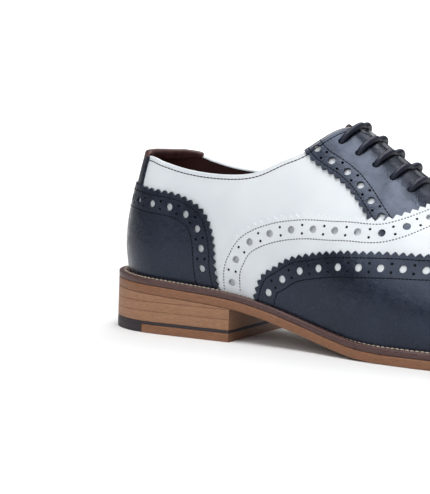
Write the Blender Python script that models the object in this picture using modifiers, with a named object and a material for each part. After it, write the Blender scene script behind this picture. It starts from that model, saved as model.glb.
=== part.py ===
"""Right wingtip brogue oxford: stacked heel, welted sole, lasted upper, overlays and lace bars.

X runs from the heel to the toe, +Y is the inner (medial) side of the foot and Z is up from the floor.
Sizes are in millimetres and become metres where a mesh is made.
"""

import math

import bmesh
import bpy
import numpy as np

MM = 0.001

# Driving sizes of the shoe
SHOE_LENGTH = 306.0
BALL_WIDTH = 107.0
INSTEP_HEIGHT = 118.0
HEEL_HEIGHT = 17.4
HEEL_LENGTH = 82.0
TOE_SPRING = 10.5

# Thicknesses, and the gap kept between pieces that touch
OUTSOLE_THICK = 4.8
WELT_THICK = 3.0
WELT_REACH = 13.0
INSOLE_THICK = 2.6
UPPER_WALL = 2.0
OVERLAY_THICK = 0.9
WING_THICK = 1.0
TONGUE_THICK = 1.8
TONGUE_GAP = 0.9
GAP = 0.3
SEAM_GAP = 0.55

# Heights in the heel stack, from the floor
RUBBER_LAYER = 1.6
TOP_PIECE_TOP = 6.2
LOWER_LIFT_TOP = 11.7
MIDDLE_LIFT_TOP = 16.9
RUBBER_CORNER_LENGTH = 29.0

# Lacing
EYELET_ROWS = 5
FIRST_EYELET_ALONG = 153.5
EYELET_PITCH = 9.65
EYELET_RISE = (0.672, 0.700)
LACE_WIDTH = 3.5
LACE_GAP = 0.4

LATERAL = -1.0
MEDIAL = 1.0


def table(columns, *rows):
    """Columns of numbers by name, from one row for each section."""
    return dict(zip(columns.split(), np.array(rows, float).T))


# Sole outline: x in percent of the length, half widths in percent of the ball width from the centre
# line, which swings to the inner side, and the width of the welt's shelf outside the upper
SOLE = table(
    "x lateral medial centre shelf",
    (0, 31.4, 30.8, 0.0, 5.0),
    (12, 32.0, 31.2, 0.0, 4.9),
    (27, 32.9, 30.7, 0.0, 4.8),
    (36, 34.4, 29.6, 0.2, 4.9),
    (43, 37.8, 31.1, 0.6, 5.1),
    (50, 43.6, 36.3, 1.2, 5.4),
    (56, 47.4, 42.0, 2.0, 5.7),
    (63, 49.9, 46.3, 3.0, 6.0),
    (70, 50.1, 47.7, 3.8, 6.2),
    (79, 49.1, 46.7, 4.6, 6.2),
    (100, 43.9, 42.0, 6.0, 6.2),
)

# Underside of the outsole: heel seat, arch, flat tread and toe spring
TREAD = table(
    "x height",
    (0, HEEL_HEIGHT * 1.32),
    (13.7, HEEL_HEIGHT * 1.17),
    (26.8, HEEL_HEIGHT),
    (33.3, HEEL_HEIGHT * 0.79),
    (39.9, HEEL_HEIGHT * 0.49),
    (46.4, HEEL_HEIGHT * 0.21),
    (51.6, HEEL_HEIGHT * 0.045),
    (56.0, 0.0),
    (63.5, 0.0),
    (79.1, TOE_SPRING * 0.25),
    (100, TOE_SPRING),
)

# Sections of the last: how far each side swells beyond the feather line and how high, the height of
# the ridge in percent of the instep height, and how far the flanks draw in towards the ridge
LAST = table(
    "x lateral_swell medial_swell swell_height ridge taper",
    (0, 2.6, 2.6, 18, 135.6, 0.00),
    (12, 2.8, 2.8, 19, 133.9, 0.00),
    (23.5, 2.6, 2.2, 21, 128.8, 0.05),
    (33.3, 2.4, 1.6, 22, 117.8, 0.14),
    (43, 2.2, 1.4, 22, 100.3, 0.24),
    (50, 2.0, 1.6, 20, 88.0, 0.24),
    (56, 1.6, 2.0, 18, 77.0, 0.18),
    (63, 1.4, 2.2, 16, 64.9, 0.08),
    (71, 1.4, 2.0, 15, 52.9, -0.02),
    (81, 1.6, 1.8, 14, 43.5, -0.10),
    (100, 1.6, 1.6, 13, 37.3, -0.15),
)

# Back of the upper: how far it stands forward of the sole's back at each height over the welt
BACK = table(
    "height x",
    (-5, 8.0),
    (0, 7.4),
    (18, 5.8),
    (40, 9.0),
    (55, 12.9),
    (72, 17.6),
    (90, 22.8),
)

# Pattern edges on the upper: along is the distance from the back seam, rise goes from 0 at the welt
# to 1 at the ridge
FACING_START = 136.5
THROAT_START = 163.0
THROAT_END = 206.0
COLLAR_EDGE = table(
    "along rise",
    (0, 0.334),
    (28, 0.335),
    (50, 0.333),
    (66, 0.317),
    (84, 0.310),
    (100, 0.320),
    (114, 0.355),
    (127, 0.430),
    (137, 0.510),
    (146, 0.645),
    (154, 0.805),
    (159, 0.895),
    (THROAT_START, 0.945),
)
THROAT_EDGE = table(
    "along rise",
    (THROAT_START, 0.945),
    (172, 0.957),
    (188, 0.957),
    (206, 0.957),
)
COUNTER_TURN = 80.0
COUNTER_EDGE = table(
    "along rise",
    (0, 0.260),
    (30, 0.258),
    (55, 0.254),
    (70, 0.246),
    (COUNTER_TURN, 0.229),
    (86, 0.208),
    (90, 0.172),
    (92.3, 0.125),
    (93.2, 0.070),
    (94.5, 0.010),
)
VAMP_EDGE = table(
    "rise along",
    (0, 95.6),
    (0.08, 96.5),
    (0.15, 101.5),
    (0.19, 109),
    (0.23, 120.5),
    (0.27, 133.5),
    (0.35, 159),
    (0.45, 183.5),
    (0.53, 192.5),
    (0.65, 200.3),
    (0.80, 205.0),
    (1, 207.0),
)
WING_EDGE = table(
    "rise along",
    (0, 115),
    (0.07, 119),
    (0.12, 127),
    (0.15, 133.5),
    (0.19, 145.5),
    (0.27, 169.5),
    (0.35, 195),
    (0.45, 219),
    (0.55, 235),
    (0.65, 243.5),
    (0.75, 246.5),
    (0.86, 243.5),
    (1, 231),
)
FACING_END = 175.5
FACING_EDGE = table(
    "along rise",
    (FACING_START, 0.505),
    (140, 0.489),
    (150, 0.483),
    (159, 0.481),
    (168, 0.456),
    (173, 0.438),
    (FACING_END, 0.433),
)
FACING_GAP = 0.8
FACING_BESIDE_VAMP = (0.45, 0.85)
# Crown of the instep, pressed flat under the lacing: how far it lies under the last's round top
CROWN_RISE = 0.72
CROWN = table(
    "along drop",
    (140, 0.0),
    (146, 0.0),
    (160, 1.1),
    (172, 2.2),
    (184, 2.8),
    (198, 3.1),
    (210, 2.8),
    (228, 1.3),
    (244, 0.0),
    (248, 0.0),
)

TONGUE_EDGE = table(
    "along rise",
    (153, 0.62),
    (165, 0.66),
    (190, 0.72),
    (215, 0.78),
)
TAB_REACH = {LATERAL: 38.0, MEDIAL: 48.0}
TAB_RISE = 0.014
TAB_GAP_RISE = 0.002
TAB_PROUD = 0.6
STRAP_HALF_WIDTH = 36.5
STRAP_GAP_RISE = 0.004
OVERLAY_FOOT_RISE = 0.006
FACING_TOP_MARGIN = 0.006

# Where the rounding of heel and toe starts and ends, and how full the last is there
HEEL_ARC = 0.118 * SHOE_LENGTH
TOE_START = 0.745 * SHOE_LENGTH
ALONG_HEEL = HEEL_ARC * math.pi / 2
ALONG_TOE = ALONG_HEEL + TOE_START - HEEL_ARC
ALONG_TIP = ALONG_TOE + (SHOE_LENGTH - TOE_START) * math.pi / 2
TOE_SHELF = 5.5
NOSE_DROP = 0.5
NOSE_BEND = 1.6
SWELL_RISE = 0.13
SWELL_SHARE = 0.45
TINY = 1e-6

# Insole's inset from the sole's edge, from heel to toe
INSOLE_INSET = table(
    "x inset",
    (0, 11.0),
    (14, 8.4),
    (60, 8.6),
    (80, 10.0),
    (100, 10.5),
)

# How finely each piece is cut
TOE_STEPS = 10
SOLE_STATIONS = (
    (0.0, ALONG_HEEL, 9),
    (ALONG_HEEL, ALONG_TOE, 24),
    (ALONG_TOE, ALONG_TIP, 11),
)
UPPER_STATIONS = (
    (0.0, ALONG_HEEL, 9),
    (ALONG_HEEL, FACING_START, 9),
    (FACING_START, THROAT_START, 4),
    (THROAT_START, THROAT_END, 9),
    (THROAT_END, ALONG_TOE, 6),
    (ALONG_TOE, ALONG_TIP, TOE_STEPS),
)
FACING_STATIONS = (
    (FACING_START, THROAT_START, 4),
    (THROAT_START, FACING_END, 5),
)
BAND_RISES = np.concatenate([[OVERLAY_FOOT_RISE], np.linspace(0.05, 0.6, 12), np.linspace(0.7, 1, 4)])
HEEL_REAR_POINTS = 9
HEEL_FRONT_POINTS = 7
UPPER_ROWS = 8
COUNTER_COLUMNS = 13
COUNTER_ROWS = 6
VAMP_COLUMNS = 8
WING_COLUMNS = 10
FACING_ROWS = 7
STRAP_COLUMNS = 6
STRAP_ROWS = 4
TAB_COLUMNS = 8
TAB_ROWS = 3
TONGUE_COLUMNS = 11
TONGUE_ROWS = 13
LACE_POINTS = 4
LACE_SETTLING = 12
OUTLINE_POINTS = 400
WELD_DISTANCE = 0.004
SLIVER_LENGTH = 0.002
SMOOTH_ANGLE = 35

# Colour and roughness of each finish
FINISHES = {
    "navy_leather": ((0.020, 0.024, 0.040), 0.38),
    "white_leather": ((0.80, 0.83, 0.86), 0.45),
    "brown_leather": ((0.11, 0.032, 0.028), 0.50),
    "welt_leather": ((0.060, 0.028, 0.024), 0.55),
    "sole_leather": ((0.30, 0.13, 0.055), 0.50),
    "stacked_leather": ((0.42, 0.21, 0.10), 0.55),
    "insole_leather": ((0.40, 0.26, 0.16), 0.60),
    "rubber": ((0.045, 0.026, 0.035), 0.60),
    "waxed_lace": ((0.016, 0.019, 0.030), 0.45),
}


def natural_curve(xs, ys):
    """Smooth function through points, as a natural cubic spline."""
    count = len(xs)
    step = np.diff(xs)
    slope = np.diff(ys) / step
    system = np.eye(count)
    bend = np.zeros(count)
    for i in range(1, count - 1):
        system[i, i - 1:i + 2] = step[i - 1], 2 * (step[i - 1] + step[i]), step[i]
        bend[i] = 6 * (slope[i] - slope[i - 1])
    second = np.linalg.solve(system, bend)

    def value(x):
        x = np.clip(x, xs[0], xs[-1])
        i = np.clip(np.searchsorted(xs, x) - 1, 0, count - 2)
        before = x - xs[i]
        after = xs[i + 1] - x
        cubic = (second[i] * after ** 3 + second[i + 1] * before ** 3) / (6 * step[i])
        left = (ys[i] / step[i] - second[i] * step[i] / 6) * after
        right = (ys[i + 1] / step[i] - second[i + 1] * step[i] / 6) * before
        return cubic + left + right

    return value


def monotone_curve(xs, ys):
    """Smooth function through points that never overshoots them, so that flats stay flat."""
    step = np.diff(xs)
    slope = np.diff(ys) / step
    tangent = np.zeros(len(xs))
    for i in range(1, len(xs) - 1):
        if slope[i - 1] * slope[i] > 0:
            near = 2 * step[i] + step[i - 1]
            far = step[i] + 2 * step[i - 1]
            tangent[i] = (near + far) / (near / slope[i - 1] + far / slope[i])
    tangent[0] = slope[0]
    tangent[-1] = slope[-1]

    def value(x):
        x = np.clip(x, xs[0], xs[-1])
        i = np.clip(np.searchsorted(xs, x) - 1, 0, len(xs) - 2)
        t = (x - xs[i]) / step[i]
        rest = 1 - t
        start = ys[i] * (1 + 2 * t) * rest ** 2 + tangent[i] * step[i] * t * rest ** 2
        end = ys[i + 1] * t ** 2 * (3 - 2 * t) - tangent[i + 1] * step[i] * t ** 2 * rest
        return start + end

    return value


def along_length(columns, column, size=1.0, kind=natural_curve):
    """Function of x in millimetres through one column of a table given in percent of the length."""
    return kind(columns["x"] * SHOE_LENGTH / 100, columns[column] * size)


def edge(columns, column):
    """Function through one column of a pattern edge, from its other column."""
    other = next(name for name in columns if name != column)
    return monotone_curve(columns[other], columns[column])


lateral_width = along_length(SOLE, "lateral", BALL_WIDTH / 100)
medial_width = along_length(SOLE, "medial", BALL_WIDTH / 100)
centre_line = along_length(SOLE, "centre")
shelf_width = along_length(SOLE, "shelf")
tread = along_length(TREAD, "height", kind=monotone_curve)
lateral_swell = along_length(LAST, "lateral_swell")
medial_swell = along_length(LAST, "medial_swell")
swell_height = along_length(LAST, "swell_height")
ridge_height = along_length(LAST, "ridge", INSTEP_HEIGHT / 100)
flank_taper = along_length(LAST, "taper")
insole_inset = along_length(INSOLE_INSET, "inset")
back_x = natural_curve(BACK["height"], BACK["x"])
collar_rise = natural_curve(COLLAR_EDGE["along"], COLLAR_EDGE["rise"])
throat_rise = natural_curve(THROAT_EDGE["along"], THROAT_EDGE["rise"])
crown_drop = monotone_curve(CROWN["along"], CROWN["drop"])


def station(along, back=0.0, tip=SHOE_LENGTH):
    """X at a distance along the side, with the turn round the heel and the sweep round the toe."""
    turn = np.clip(along / ALONG_HEEL, 0, 1) * math.pi / 2
    sweep = np.clip((along - ALONG_TOE) / (ALONG_TIP - ALONG_TOE), 0, 1) * math.pi / 2
    straight = np.clip(along - ALONG_HEEL, 0, TOE_START - HEEL_ARC)
    x = HEEL_ARC - (HEEL_ARC - back) * np.cos(turn) + straight + (tip - TOE_START) * np.sin(sweep)
    return x, turn, sweep


def half_width(x, side):
    """Half width of the sole on one side of the centre line."""
    return np.where(side < 0, lateral_width(x), medial_width(x))


def sole_edge(along, side, inset=0.0):
    """Plan point of the sole's edge, moved in by an inset."""
    x, turn, sweep = station(along, inset, SHOE_LENGTH - inset)
    width = (half_width(x, side) - inset) * np.sin(turn) * np.cos(sweep)
    return x, centre_line(x) + side * width


def feather_height(x):
    """Height of the upper's lower edge, just over the welt."""
    return tread(x) + OUTSOLE_THICK + WELT_THICK + 2 * GAP


# How steeply the ridge falls towards the welt where the toe's rounding starts
NOSE_FALL = (ridge_height(TOE_START - 1) - feather_height(TOE_START - 1)
             - ridge_height(TOE_START) + feather_height(TOE_START))


def last(along, rise, side):
    """Points of the upper's outer surface, with level lines that run round heel and toe."""
    x, turn, sweep = station(along, 0.0, SHOE_LENGTH - TOE_SHELF)
    section = np.minimum(x, TOE_START)
    foot = half_width(x, side) - shelf_width(x)
    widest = foot + np.where(side < 0, lateral_swell(section), medial_swell(section)) * np.cos(sweep)
    full_height = ridge_height(section) - feather_height(section)
    flank_swell = np.minimum(swell_height(section), SWELL_SHARE * full_height)
    swell = flank_swell * (1 - NOSE_DROP * np.sin(sweep) ** 2)
    below = np.clip(1 - rise / SWELL_RISE, 0, 1)
    above = np.clip((rise - SWELL_RISE) / (1 - SWELL_RISE), 0, 1)
    share = above * (2 - above)
    height = swell * (1 - below) + (full_height - swell) * share
    flank = np.sqrt(np.clip(1 - share ** 2, 0, 1)) * (1 - flank_taper(section) * share ** 2)
    width = (widest * flank - (widest - foot) * below ** 2) * np.sin(turn) * np.cos(sweep)
    back = back_x(height)
    round_heel = back + (HEEL_ARC - back) * x / HEEL_ARC
    nose = (x - section) * np.sqrt(np.clip(1 - share ** 2, 0, 1))
    true_x = np.where(along < ALONG_HEEL, round_heel, section + nose)
    pressed = np.clip((rise - CROWN_RISE) / (1 - CROWN_RISE), 0, 1)
    drop = NOSE_FALL * share ** NOSE_BEND * nose + crown_drop(along) * pressed ** 2 * (3 - 2 * pressed)
    z = feather_height(true_x) + height - drop
    return np.stack([true_x, centre_line(true_x) + side * width, z], -1)


def outward(along, rise, side):
    """Unit normals of the upper's outer surface."""
    small_along = 0.02
    small_rise = 0.0005
    on_top = rise > 1 - TINY
    a = np.clip(along, small_along, np.where(on_top, ALONG_TOE, ALONG_TIP - small_along))
    r = np.clip(rise, 2 * small_rise, 1 - 2 * small_rise)
    forward = last(a + small_along, r, side) - last(a - small_along, r, side)
    upward = last(a, r + small_rise, side) - last(a, r - small_rise, side)
    normal = np.cross(upward, forward) * side[..., None]
    on_centre = on_top | (along < TINY) | (along > ALONG_TIP - TINY)
    normal[..., 1] = np.where(on_centre, 0.0, normal[..., 1])
    return normal / np.linalg.norm(normal, axis=-1, keepdims=True)


def skin(along, rise, side, lift=0.0):
    """Points at a distance outside the upper's outer surface."""
    along, rise, side = np.broadcast_arrays(np.asarray(along, float), rise, side)
    return last(along, rise, side) + lift * outward(along, rise, side)


def top_edge(along):
    """Rise of the upper's top edge: collar, then throat, then the closed ridge of the vamp."""
    rise = np.where(along < THROAT_EDGE["along"][0], collar_rise(along), throat_rise(along))
    return np.where(along > THROAT_END - TINY, 1.0, rise)


def stations(stretches):
    """Distances along the side, with each stretch cut into equal steps."""
    steps = [np.linspace(start, end, count, endpoint=False) for start, end, count in stretches]
    return np.concatenate(steps + [[stretches[-1][1]]])


def add_sheet(mesh, points):
    """Add a grid mapped onto an array of points, columns by rows."""
    columns, rows = points.shape[:2]
    grid = bmesh.ops.create_grid(mesh, x_segments=columns - 1, y_segments=rows - 1, size=0.5)
    for vert in grid["verts"]:
        i = round((vert.co.x + 0.5) * (columns - 1))
        j = round((vert.co.y + 0.5) * (rows - 1))
        vert.co = points[i, j] * MM


def weld(mesh):
    """Join points that coincide, as at the heel's back, the ridge and the toe's tip."""
    bmesh.ops.remove_doubles(mesh, verts=mesh.verts, dist=WELD_DISTANCE * MM)
    bmesh.ops.dissolve_degenerate(mesh, edges=mesh.edges, dist=SLIVER_LENGTH * MM)


def make_object(mesh, name, finish):
    """Turn a mesh into a named object with its own material, placed under the shoe's empty."""
    data = bpy.data.meshes.new(name)
    mesh.to_mesh(data)
    mesh.free()
    data.shade_smooth()
    data.set_sharp_from_angle(angle=math.radians(SMOOTH_ANGLE))
    piece = bpy.data.objects.new(name, data)
    dress(piece, finish)
    return piece


def dress(piece, finish):
    """Give a piece its material and parent."""
    colour, roughness = FINISHES[finish]
    material = bpy.data.materials.new(f"{piece.name}_{finish}")
    material.use_nodes = True
    shader = material.node_tree.nodes["Principled BSDF"]
    shader.inputs["Base Color"].default_value = (*colour, 1.0)
    shader.inputs["Roughness"].default_value = roughness
    shader.inputs["Metallic"].default_value = 0.0
    piece.data.materials.append(material)
    piece.parent = shoe
    parts.objects.link(piece)


def make_shell(name, finish, sheets, thickness, outwards=True):
    """Shell from sheets on the last, thickened to one side with Solidify."""
    mesh = bmesh.new()
    for points in sheets:
        add_sheet(mesh, points)
    weld(mesh)
    piece = make_object(mesh, name, finish)
    wall = piece.modifiers.new("wall", "SOLIDIFY")
    wall.thickness = thickness * MM
    wall.offset = 1.0 if outwards else -1.0
    wall.use_even_offset = True


def patch(lower, upper, side, lift, rows):
    """Sheet on the last between two lines, given as (along, rise) arrays of equal length."""
    share = np.linspace(0, 1, rows)
    along = lower[0][:, None] * (1 - share) + upper[0][:, None] * share
    rise = lower[1][:, None] * (1 - share) + upper[1][:, None] * share
    points = skin(along, rise, side, lift)
    return points if side == LATERAL else points[::-1]


def make_plate(name, finish, edges, bottom, top):
    """Plate between two plan edges, with its bottom and top heights given for each point."""
    (left_x, left_y), (right_x, right_y) = edges
    x = np.stack([left_x, right_x], 1)
    y = np.stack([left_y, right_y], 1)
    mesh = bmesh.new()
    add_sheet(mesh, np.stack([x, y, bottom(x)], -1))
    weld(mesh)
    raised = bmesh.ops.extrude_face_region(mesh, geom=mesh.faces[:])["geom"]
    for vert in raised:
        if isinstance(vert, bmesh.types.BMVert):
            vert.co.z = float(top(vert.co.x / MM)) * MM
    weld(mesh)
    bmesh.ops.recalc_face_normals(mesh, faces=mesh.faces)
    make_object(mesh, name, finish)


def level(height):
    """Flat height, the same at every x."""
    return lambda x: np.full_like(np.asarray(x, float), height)


def over_tread(height):
    """Height above the underside of the outsole."""
    return lambda x: tread(x) + height


def both_edges(along, inset=0.0):
    """Lateral and medial plan edges of the sole."""
    return sole_edge(along, LATERAL, inset), sole_edge(along, MEDIAL, inset)


def along_at(x):
    """Distance along the side at which the sole's edge passes an x behind the toe's rounding."""
    if x < HEEL_ARC:
        return ALONG_HEEL * math.acos(1 - x / HEEL_ARC) / (math.pi / 2)
    return ALONG_HEEL + x - HEEL_ARC


def make_heel():
    """Top piece of rubber and leather, two level lifts and the wedge under the heel seat."""
    breast = along_at(HEEL_LENGTH)
    corner = along_at(RUBBER_CORNER_LENGTH)
    front = along_at(RUBBER_CORNER_LENGTH + GAP)
    rear_part = np.linspace(0, corner, HEEL_REAR_POINTS)
    front_part = np.linspace(front, breast, HEEL_FRONT_POINTS)
    leather_part = np.linspace(front + GAP, breast, HEEL_FRONT_POINTS)
    heel_part = np.concatenate([rear_part, front_part])
    layer_bottom = TOP_PIECE_TOP - RUBBER_LAYER

    def rubber_bottom(x):
        return np.where(x < RUBBER_CORNER_LENGTH + GAP / 2, 0.0, layer_bottom)

    make_plate("heel_rubber", "rubber", both_edges(heel_part), rubber_bottom, level(TOP_PIECE_TOP))
    make_plate("heel_leather", "sole_leather", both_edges(leather_part),
               level(0.0), level(layer_bottom - GAP))
    make_plate("heel_lift_lower", "stacked_leather", both_edges(heel_part),
               level(TOP_PIECE_TOP + GAP), level(LOWER_LIFT_TOP))
    make_plate("heel_lift_middle", "stacked_leather", both_edges(heel_part),
               level(LOWER_LIFT_TOP + GAP), level(MIDDLE_LIFT_TOP))
    make_plate("heel_lift_upper", "stacked_leather", both_edges(heel_part),
               level(MIDDLE_LIFT_TOP + GAP / 2), over_tread(-GAP / 2))


def make_sole():
    """Outsole, the welt's strip all round and the insole."""
    along = stations(SOLE_STATIONS)
    make_plate("outsole", "sole_leather", both_edges(along), over_tread(0.0), over_tread(OUTSOLE_THICK))

    around = np.concatenate([-along[:0:-1], along])
    side = np.where(around < 0, MEDIAL, LATERAL)
    strip = (sole_edge(np.abs(around), side), sole_edge(np.abs(around), side, WELT_REACH))
    welt_bottom = OUTSOLE_THICK + GAP
    make_plate("welt", "welt_leather", strip, over_tread(welt_bottom), over_tread(welt_bottom + WELT_THICK))

    inset = insole_inset(station(along)[0])
    insole_bottom = welt_bottom + WELT_THICK + GAP
    make_plate("insole", "insole_leather", both_edges(along, inset),
               over_tread(insole_bottom), over_tread(insole_bottom + INSOLE_THICK))


def make_upper():
    """Hollow lasted upper, open at collar, throat and underneath."""
    one_side = stations(UPPER_STATIONS)
    along = np.concatenate([-one_side[:0:-1], one_side])
    side = np.where(along < 0, MEDIAL, LATERAL)[:, None]
    share = np.linspace(0, 1, UPPER_ROWS + 1)
    along = np.abs(along)[:, None]
    points = skin(along, top_edge(along) * share, side)
    make_shell("upper", "white_leather", [points], UPPER_WALL, outwards=False)


def make_tongue():
    """Tongue under the throat, from the top of the facings to under the vamp."""
    along = np.linspace(TONGUE_EDGE["along"][0], TONGUE_EDGE["along"][-1], TONGUE_COLUMNS)[:, None]
    across = np.linspace(1, -1, TONGUE_ROWS)
    side = np.where(across > 0, LATERAL, MEDIAL)
    reach = 1 - natural_curve(TONGUE_EDGE["along"], TONGUE_EDGE["rise"])(along)
    points = skin(along, 1 - np.abs(across) * reach, side, -(UPPER_WALL + TONGUE_GAP))
    make_shell("tongue", "brown_leather", [points], TONGUE_THICK, outwards=False)


def make_overlays():
    """Counter, vamp, wing, facings, back strap and heel tab, each cut from the last's own surface."""
    turned_down = COUNTER_EDGE["along"][COUNTER_EDGE["along"] > COUNTER_TURN]
    counter_along = np.concatenate([np.linspace(0, COUNTER_TURN, COUNTER_COLUMNS), turned_down])
    counter_top = edge(COUNTER_EDGE, "rise")(counter_along)
    foot = np.full_like(counter_along, OVERLAY_FOOT_RISE)
    sheets = [patch((counter_along, foot), (counter_along, counter_top), side, SEAM_GAP, COUNTER_ROWS)
              for side in (LATERAL, MEDIAL)]
    make_shell("counter", "navy_leather", sheets, OVERLAY_THICK)

    rise = BAND_RISES
    vamp_along = edge(VAMP_EDGE, "along")(rise)
    wing_along = edge(WING_EDGE, "along")(rise)
    vamp_sheets = []
    wing_sheets = []
    toe = np.full_like(rise, ALONG_TOE)
    tip = np.full_like(rise, ALONG_TIP)
    for side in (LATERAL, MEDIAL):
        before_wing = (wing_along - SEAM_GAP, rise)
        vamp_sheets.append(patch((vamp_along, rise), before_wing, side, SEAM_GAP, VAMP_COLUMNS)[::-1])
        wing_sheets.append(patch((wing_along, rise), (toe, rise), side, SEAM_GAP, WING_COLUMNS)[::-1])
        wing_sheets.append(patch((toe, rise), (tip, rise), side, SEAM_GAP, TOE_STEPS + 1)[::-1])
    make_shell("vamp", "white_leather", vamp_sheets, OVERLAY_THICK)
    make_shell("wing", "navy_leather", wing_sheets, WING_THICK)

    free_along = stations(FACING_STATIONS)
    beside_vamp = (rise > FACING_BESIDE_VAMP[0]) & (rise < FACING_BESIDE_VAMP[1])
    facing_along = np.concatenate([free_along, vamp_along[beside_vamp] - FACING_GAP])
    facing_low = np.concatenate([edge(FACING_EDGE, "rise")(free_along), rise[beside_vamp]])
    facing_high = top_edge(facing_along) - FACING_TOP_MARGIN
    for name, side in (("facing_lateral", LATERAL), ("facing_medial", MEDIAL)):
        sheet = patch((facing_along, facing_low), (facing_along, facing_high), side, SEAM_GAP, FACING_ROWS)
        make_shell(name, "navy_leather", [sheet], OVERLAY_THICK)

    strap_along = np.linspace(0, STRAP_HALF_WIDTH, STRAP_COLUMNS)
    strap_low = edge(COUNTER_EDGE, "rise")(strap_along) + STRAP_GAP_RISE
    strap_high = collar_rise(strap_along) - STRAP_GAP_RISE
    sheets = [patch((strap_along, strap_low), (strap_along, strap_high), side, SEAM_GAP, STRAP_ROWS)
              for side in (LATERAL, MEDIAL)]
    make_shell("back_strap", "navy_leather", sheets, OVERLAY_THICK)

    sheets = []
    for side, reach in TAB_REACH.items():
        tab_along = np.linspace(0, reach, TAB_COLUMNS)
        tab_low = collar_rise(tab_along) + TAB_GAP_RISE
        tab_high = tab_low + TAB_RISE
        sheets.append(patch((tab_along, tab_low), (tab_along, tab_high), side, TAB_PROUD, TAB_ROWS))
    make_shell("heel_tab", "brown_leather", sheets, UPPER_WALL + 2 * TAB_PROUD, outwards=False)


def make_lace_bars():
    """Five bars of round lace over the facings, each in a plane square to the sloping throat."""
    lift = SEAM_GAP + OVERLAY_THICK + LACE_GAP + LACE_WIDTH / 2
    slope = skin(THROAT_END, 1.0, LATERAL, lift) - skin(THROAT_START, 1.0, LATERAL, lift)
    throat_way = slope / np.linalg.norm(slope)
    for row in range(EYELET_ROWS):
        along = FIRST_EYELET_ALONG + EYELET_PITCH * row
        rise = np.interp(row, (0, EYELET_ROWS - 1), EYELET_RISE)
        up_facing = np.linspace(rise, throat_rise(along), LACE_POINTS)
        forward = np.full(LACE_POINTS, along)
        for _ in range(LACE_SETTLING):
            climb = skin(forward, up_facing, LATERAL, lift)
            forward = forward - throat_way[0] * ((climb - climb[0]) @ throat_way)
        points = np.concatenate([skin(forward, up_facing, LATERAL, lift),
                                 skin(forward, up_facing, MEDIAL, lift)[::-1]])
        route = bpy.data.curves.new(f"lace_bar_{row + 1}", "CURVE")
        route.dimensions = "3D"
        route.bevel_depth = LACE_WIDTH / 2 * MM
        route.bevel_resolution = 2
        route.use_fill_caps = True
        spline = route.splines.new("POLY")
        spline.points.add(len(points) - 1)
        for knot, point in zip(spline.points, points):
            knot.co = (*(point * MM), 1.0)
        dress(bpy.data.objects.new(route.name, route), "waxed_lace")


for leftover in list(bpy.data.objects):
    bpy.data.objects.remove(leftover, do_unlink=True)

parts = bpy.data.collections.new("brogue_oxford")
bpy.context.scene.collection.children.link(parts)

# The origin is on the floor under the middle of the sole's outline
outline = np.linspace(0, ALONG_TIP, OUTLINE_POINTS)
outer_y = sole_edge(outline, LATERAL)[1].min()
inner_y = sole_edge(outline, MEDIAL)[1].max()
shoe = bpy.data.objects.new("shoe", None)
shoe.location = (-SHOE_LENGTH / 2 * MM, -(outer_y + inner_y) / 2 * MM, 0.0)
parts.objects.link(shoe)

make_heel()
make_sole()
make_upper()
make_tongue()
make_overlays()
make_lace_bars()
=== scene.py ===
"""Looks of the right wingtip brogue oxford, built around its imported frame.

X runs from the heel to the toe, +Y is the inner (medial) side of the foot and Z is up from the floor.
Sizes are in millimetres and become metres where a mesh is made. A place on the upper is given by along,
the distance from the back seam, and rise, from 0 at the welt to 1 at the ridge.
"""

import math

import bmesh
import bpy
import numpy as np
from mathutils import Matrix, Vector
from mathutils.geometry import delaunay_2d_cdt


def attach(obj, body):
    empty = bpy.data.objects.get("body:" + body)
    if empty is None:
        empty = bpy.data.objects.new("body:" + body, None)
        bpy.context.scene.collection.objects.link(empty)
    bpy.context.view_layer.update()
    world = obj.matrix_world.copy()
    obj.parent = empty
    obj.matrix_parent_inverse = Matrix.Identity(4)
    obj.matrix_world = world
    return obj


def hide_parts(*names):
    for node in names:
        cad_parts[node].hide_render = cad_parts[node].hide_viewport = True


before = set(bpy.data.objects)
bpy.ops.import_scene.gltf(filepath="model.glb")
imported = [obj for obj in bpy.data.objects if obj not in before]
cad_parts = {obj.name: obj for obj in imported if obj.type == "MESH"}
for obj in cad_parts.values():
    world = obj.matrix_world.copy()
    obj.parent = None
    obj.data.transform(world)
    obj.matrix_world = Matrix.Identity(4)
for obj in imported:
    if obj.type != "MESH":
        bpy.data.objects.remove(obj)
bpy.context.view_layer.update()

MM = 0.001
LATERAL = -1.0
MEDIAL = 1.0
TINY = 1e-6
SLIVER = 1e-7
WELD = 1e-5
UP = np.array([0.0, 0.0, 1.0])
FORWARD = np.array([1.0, 0.0, 0.0])

# Sizes of the frame
SHOE_LENGTH = 306.0
BALL_WIDTH = 107.0
INSTEP_HEIGHT = 118.0
HEEL_HEIGHT = 17.4
HEEL_LENGTH = 82.0
TOE_SPRING = 10.5
OUTSOLE_THICK = 4.8
WELT_THICK = 3.0
INSOLE_THICK = 2.6
UPPER_WALL = 2.0
GAP = 0.3
RUBBER_LAYER = 1.6
TOP_PIECE_TOP = 6.2
LOWER_LIFT_TOP = 11.7
MIDDLE_LIFT_TOP = 16.9
RUBBER_CORNER_LENGTH = 29.0

# Sole and heel: rounding of edges, thin seams between layers, the welt's stitches and how solids are welded
OUTSOLE_ROUNDING = 0.7
WELT_ROUNDING = 0.6
INSOLE_ROUNDING = 0.8
LIFT_ROUNDING = 0.3
WELT_SEAM = 0.09
LIFT_SEAM = 0.05
CORNER_SEAM = 0.2
CORNER_OVERLAP = 0.02
WELT_STITCH = 3.0
NEAREST_STATION = 0.5
LOFT_WELD = 0.002
LOFT_SLIVER = 0.001
SHARP_ANGLE = math.radians(40)

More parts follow.
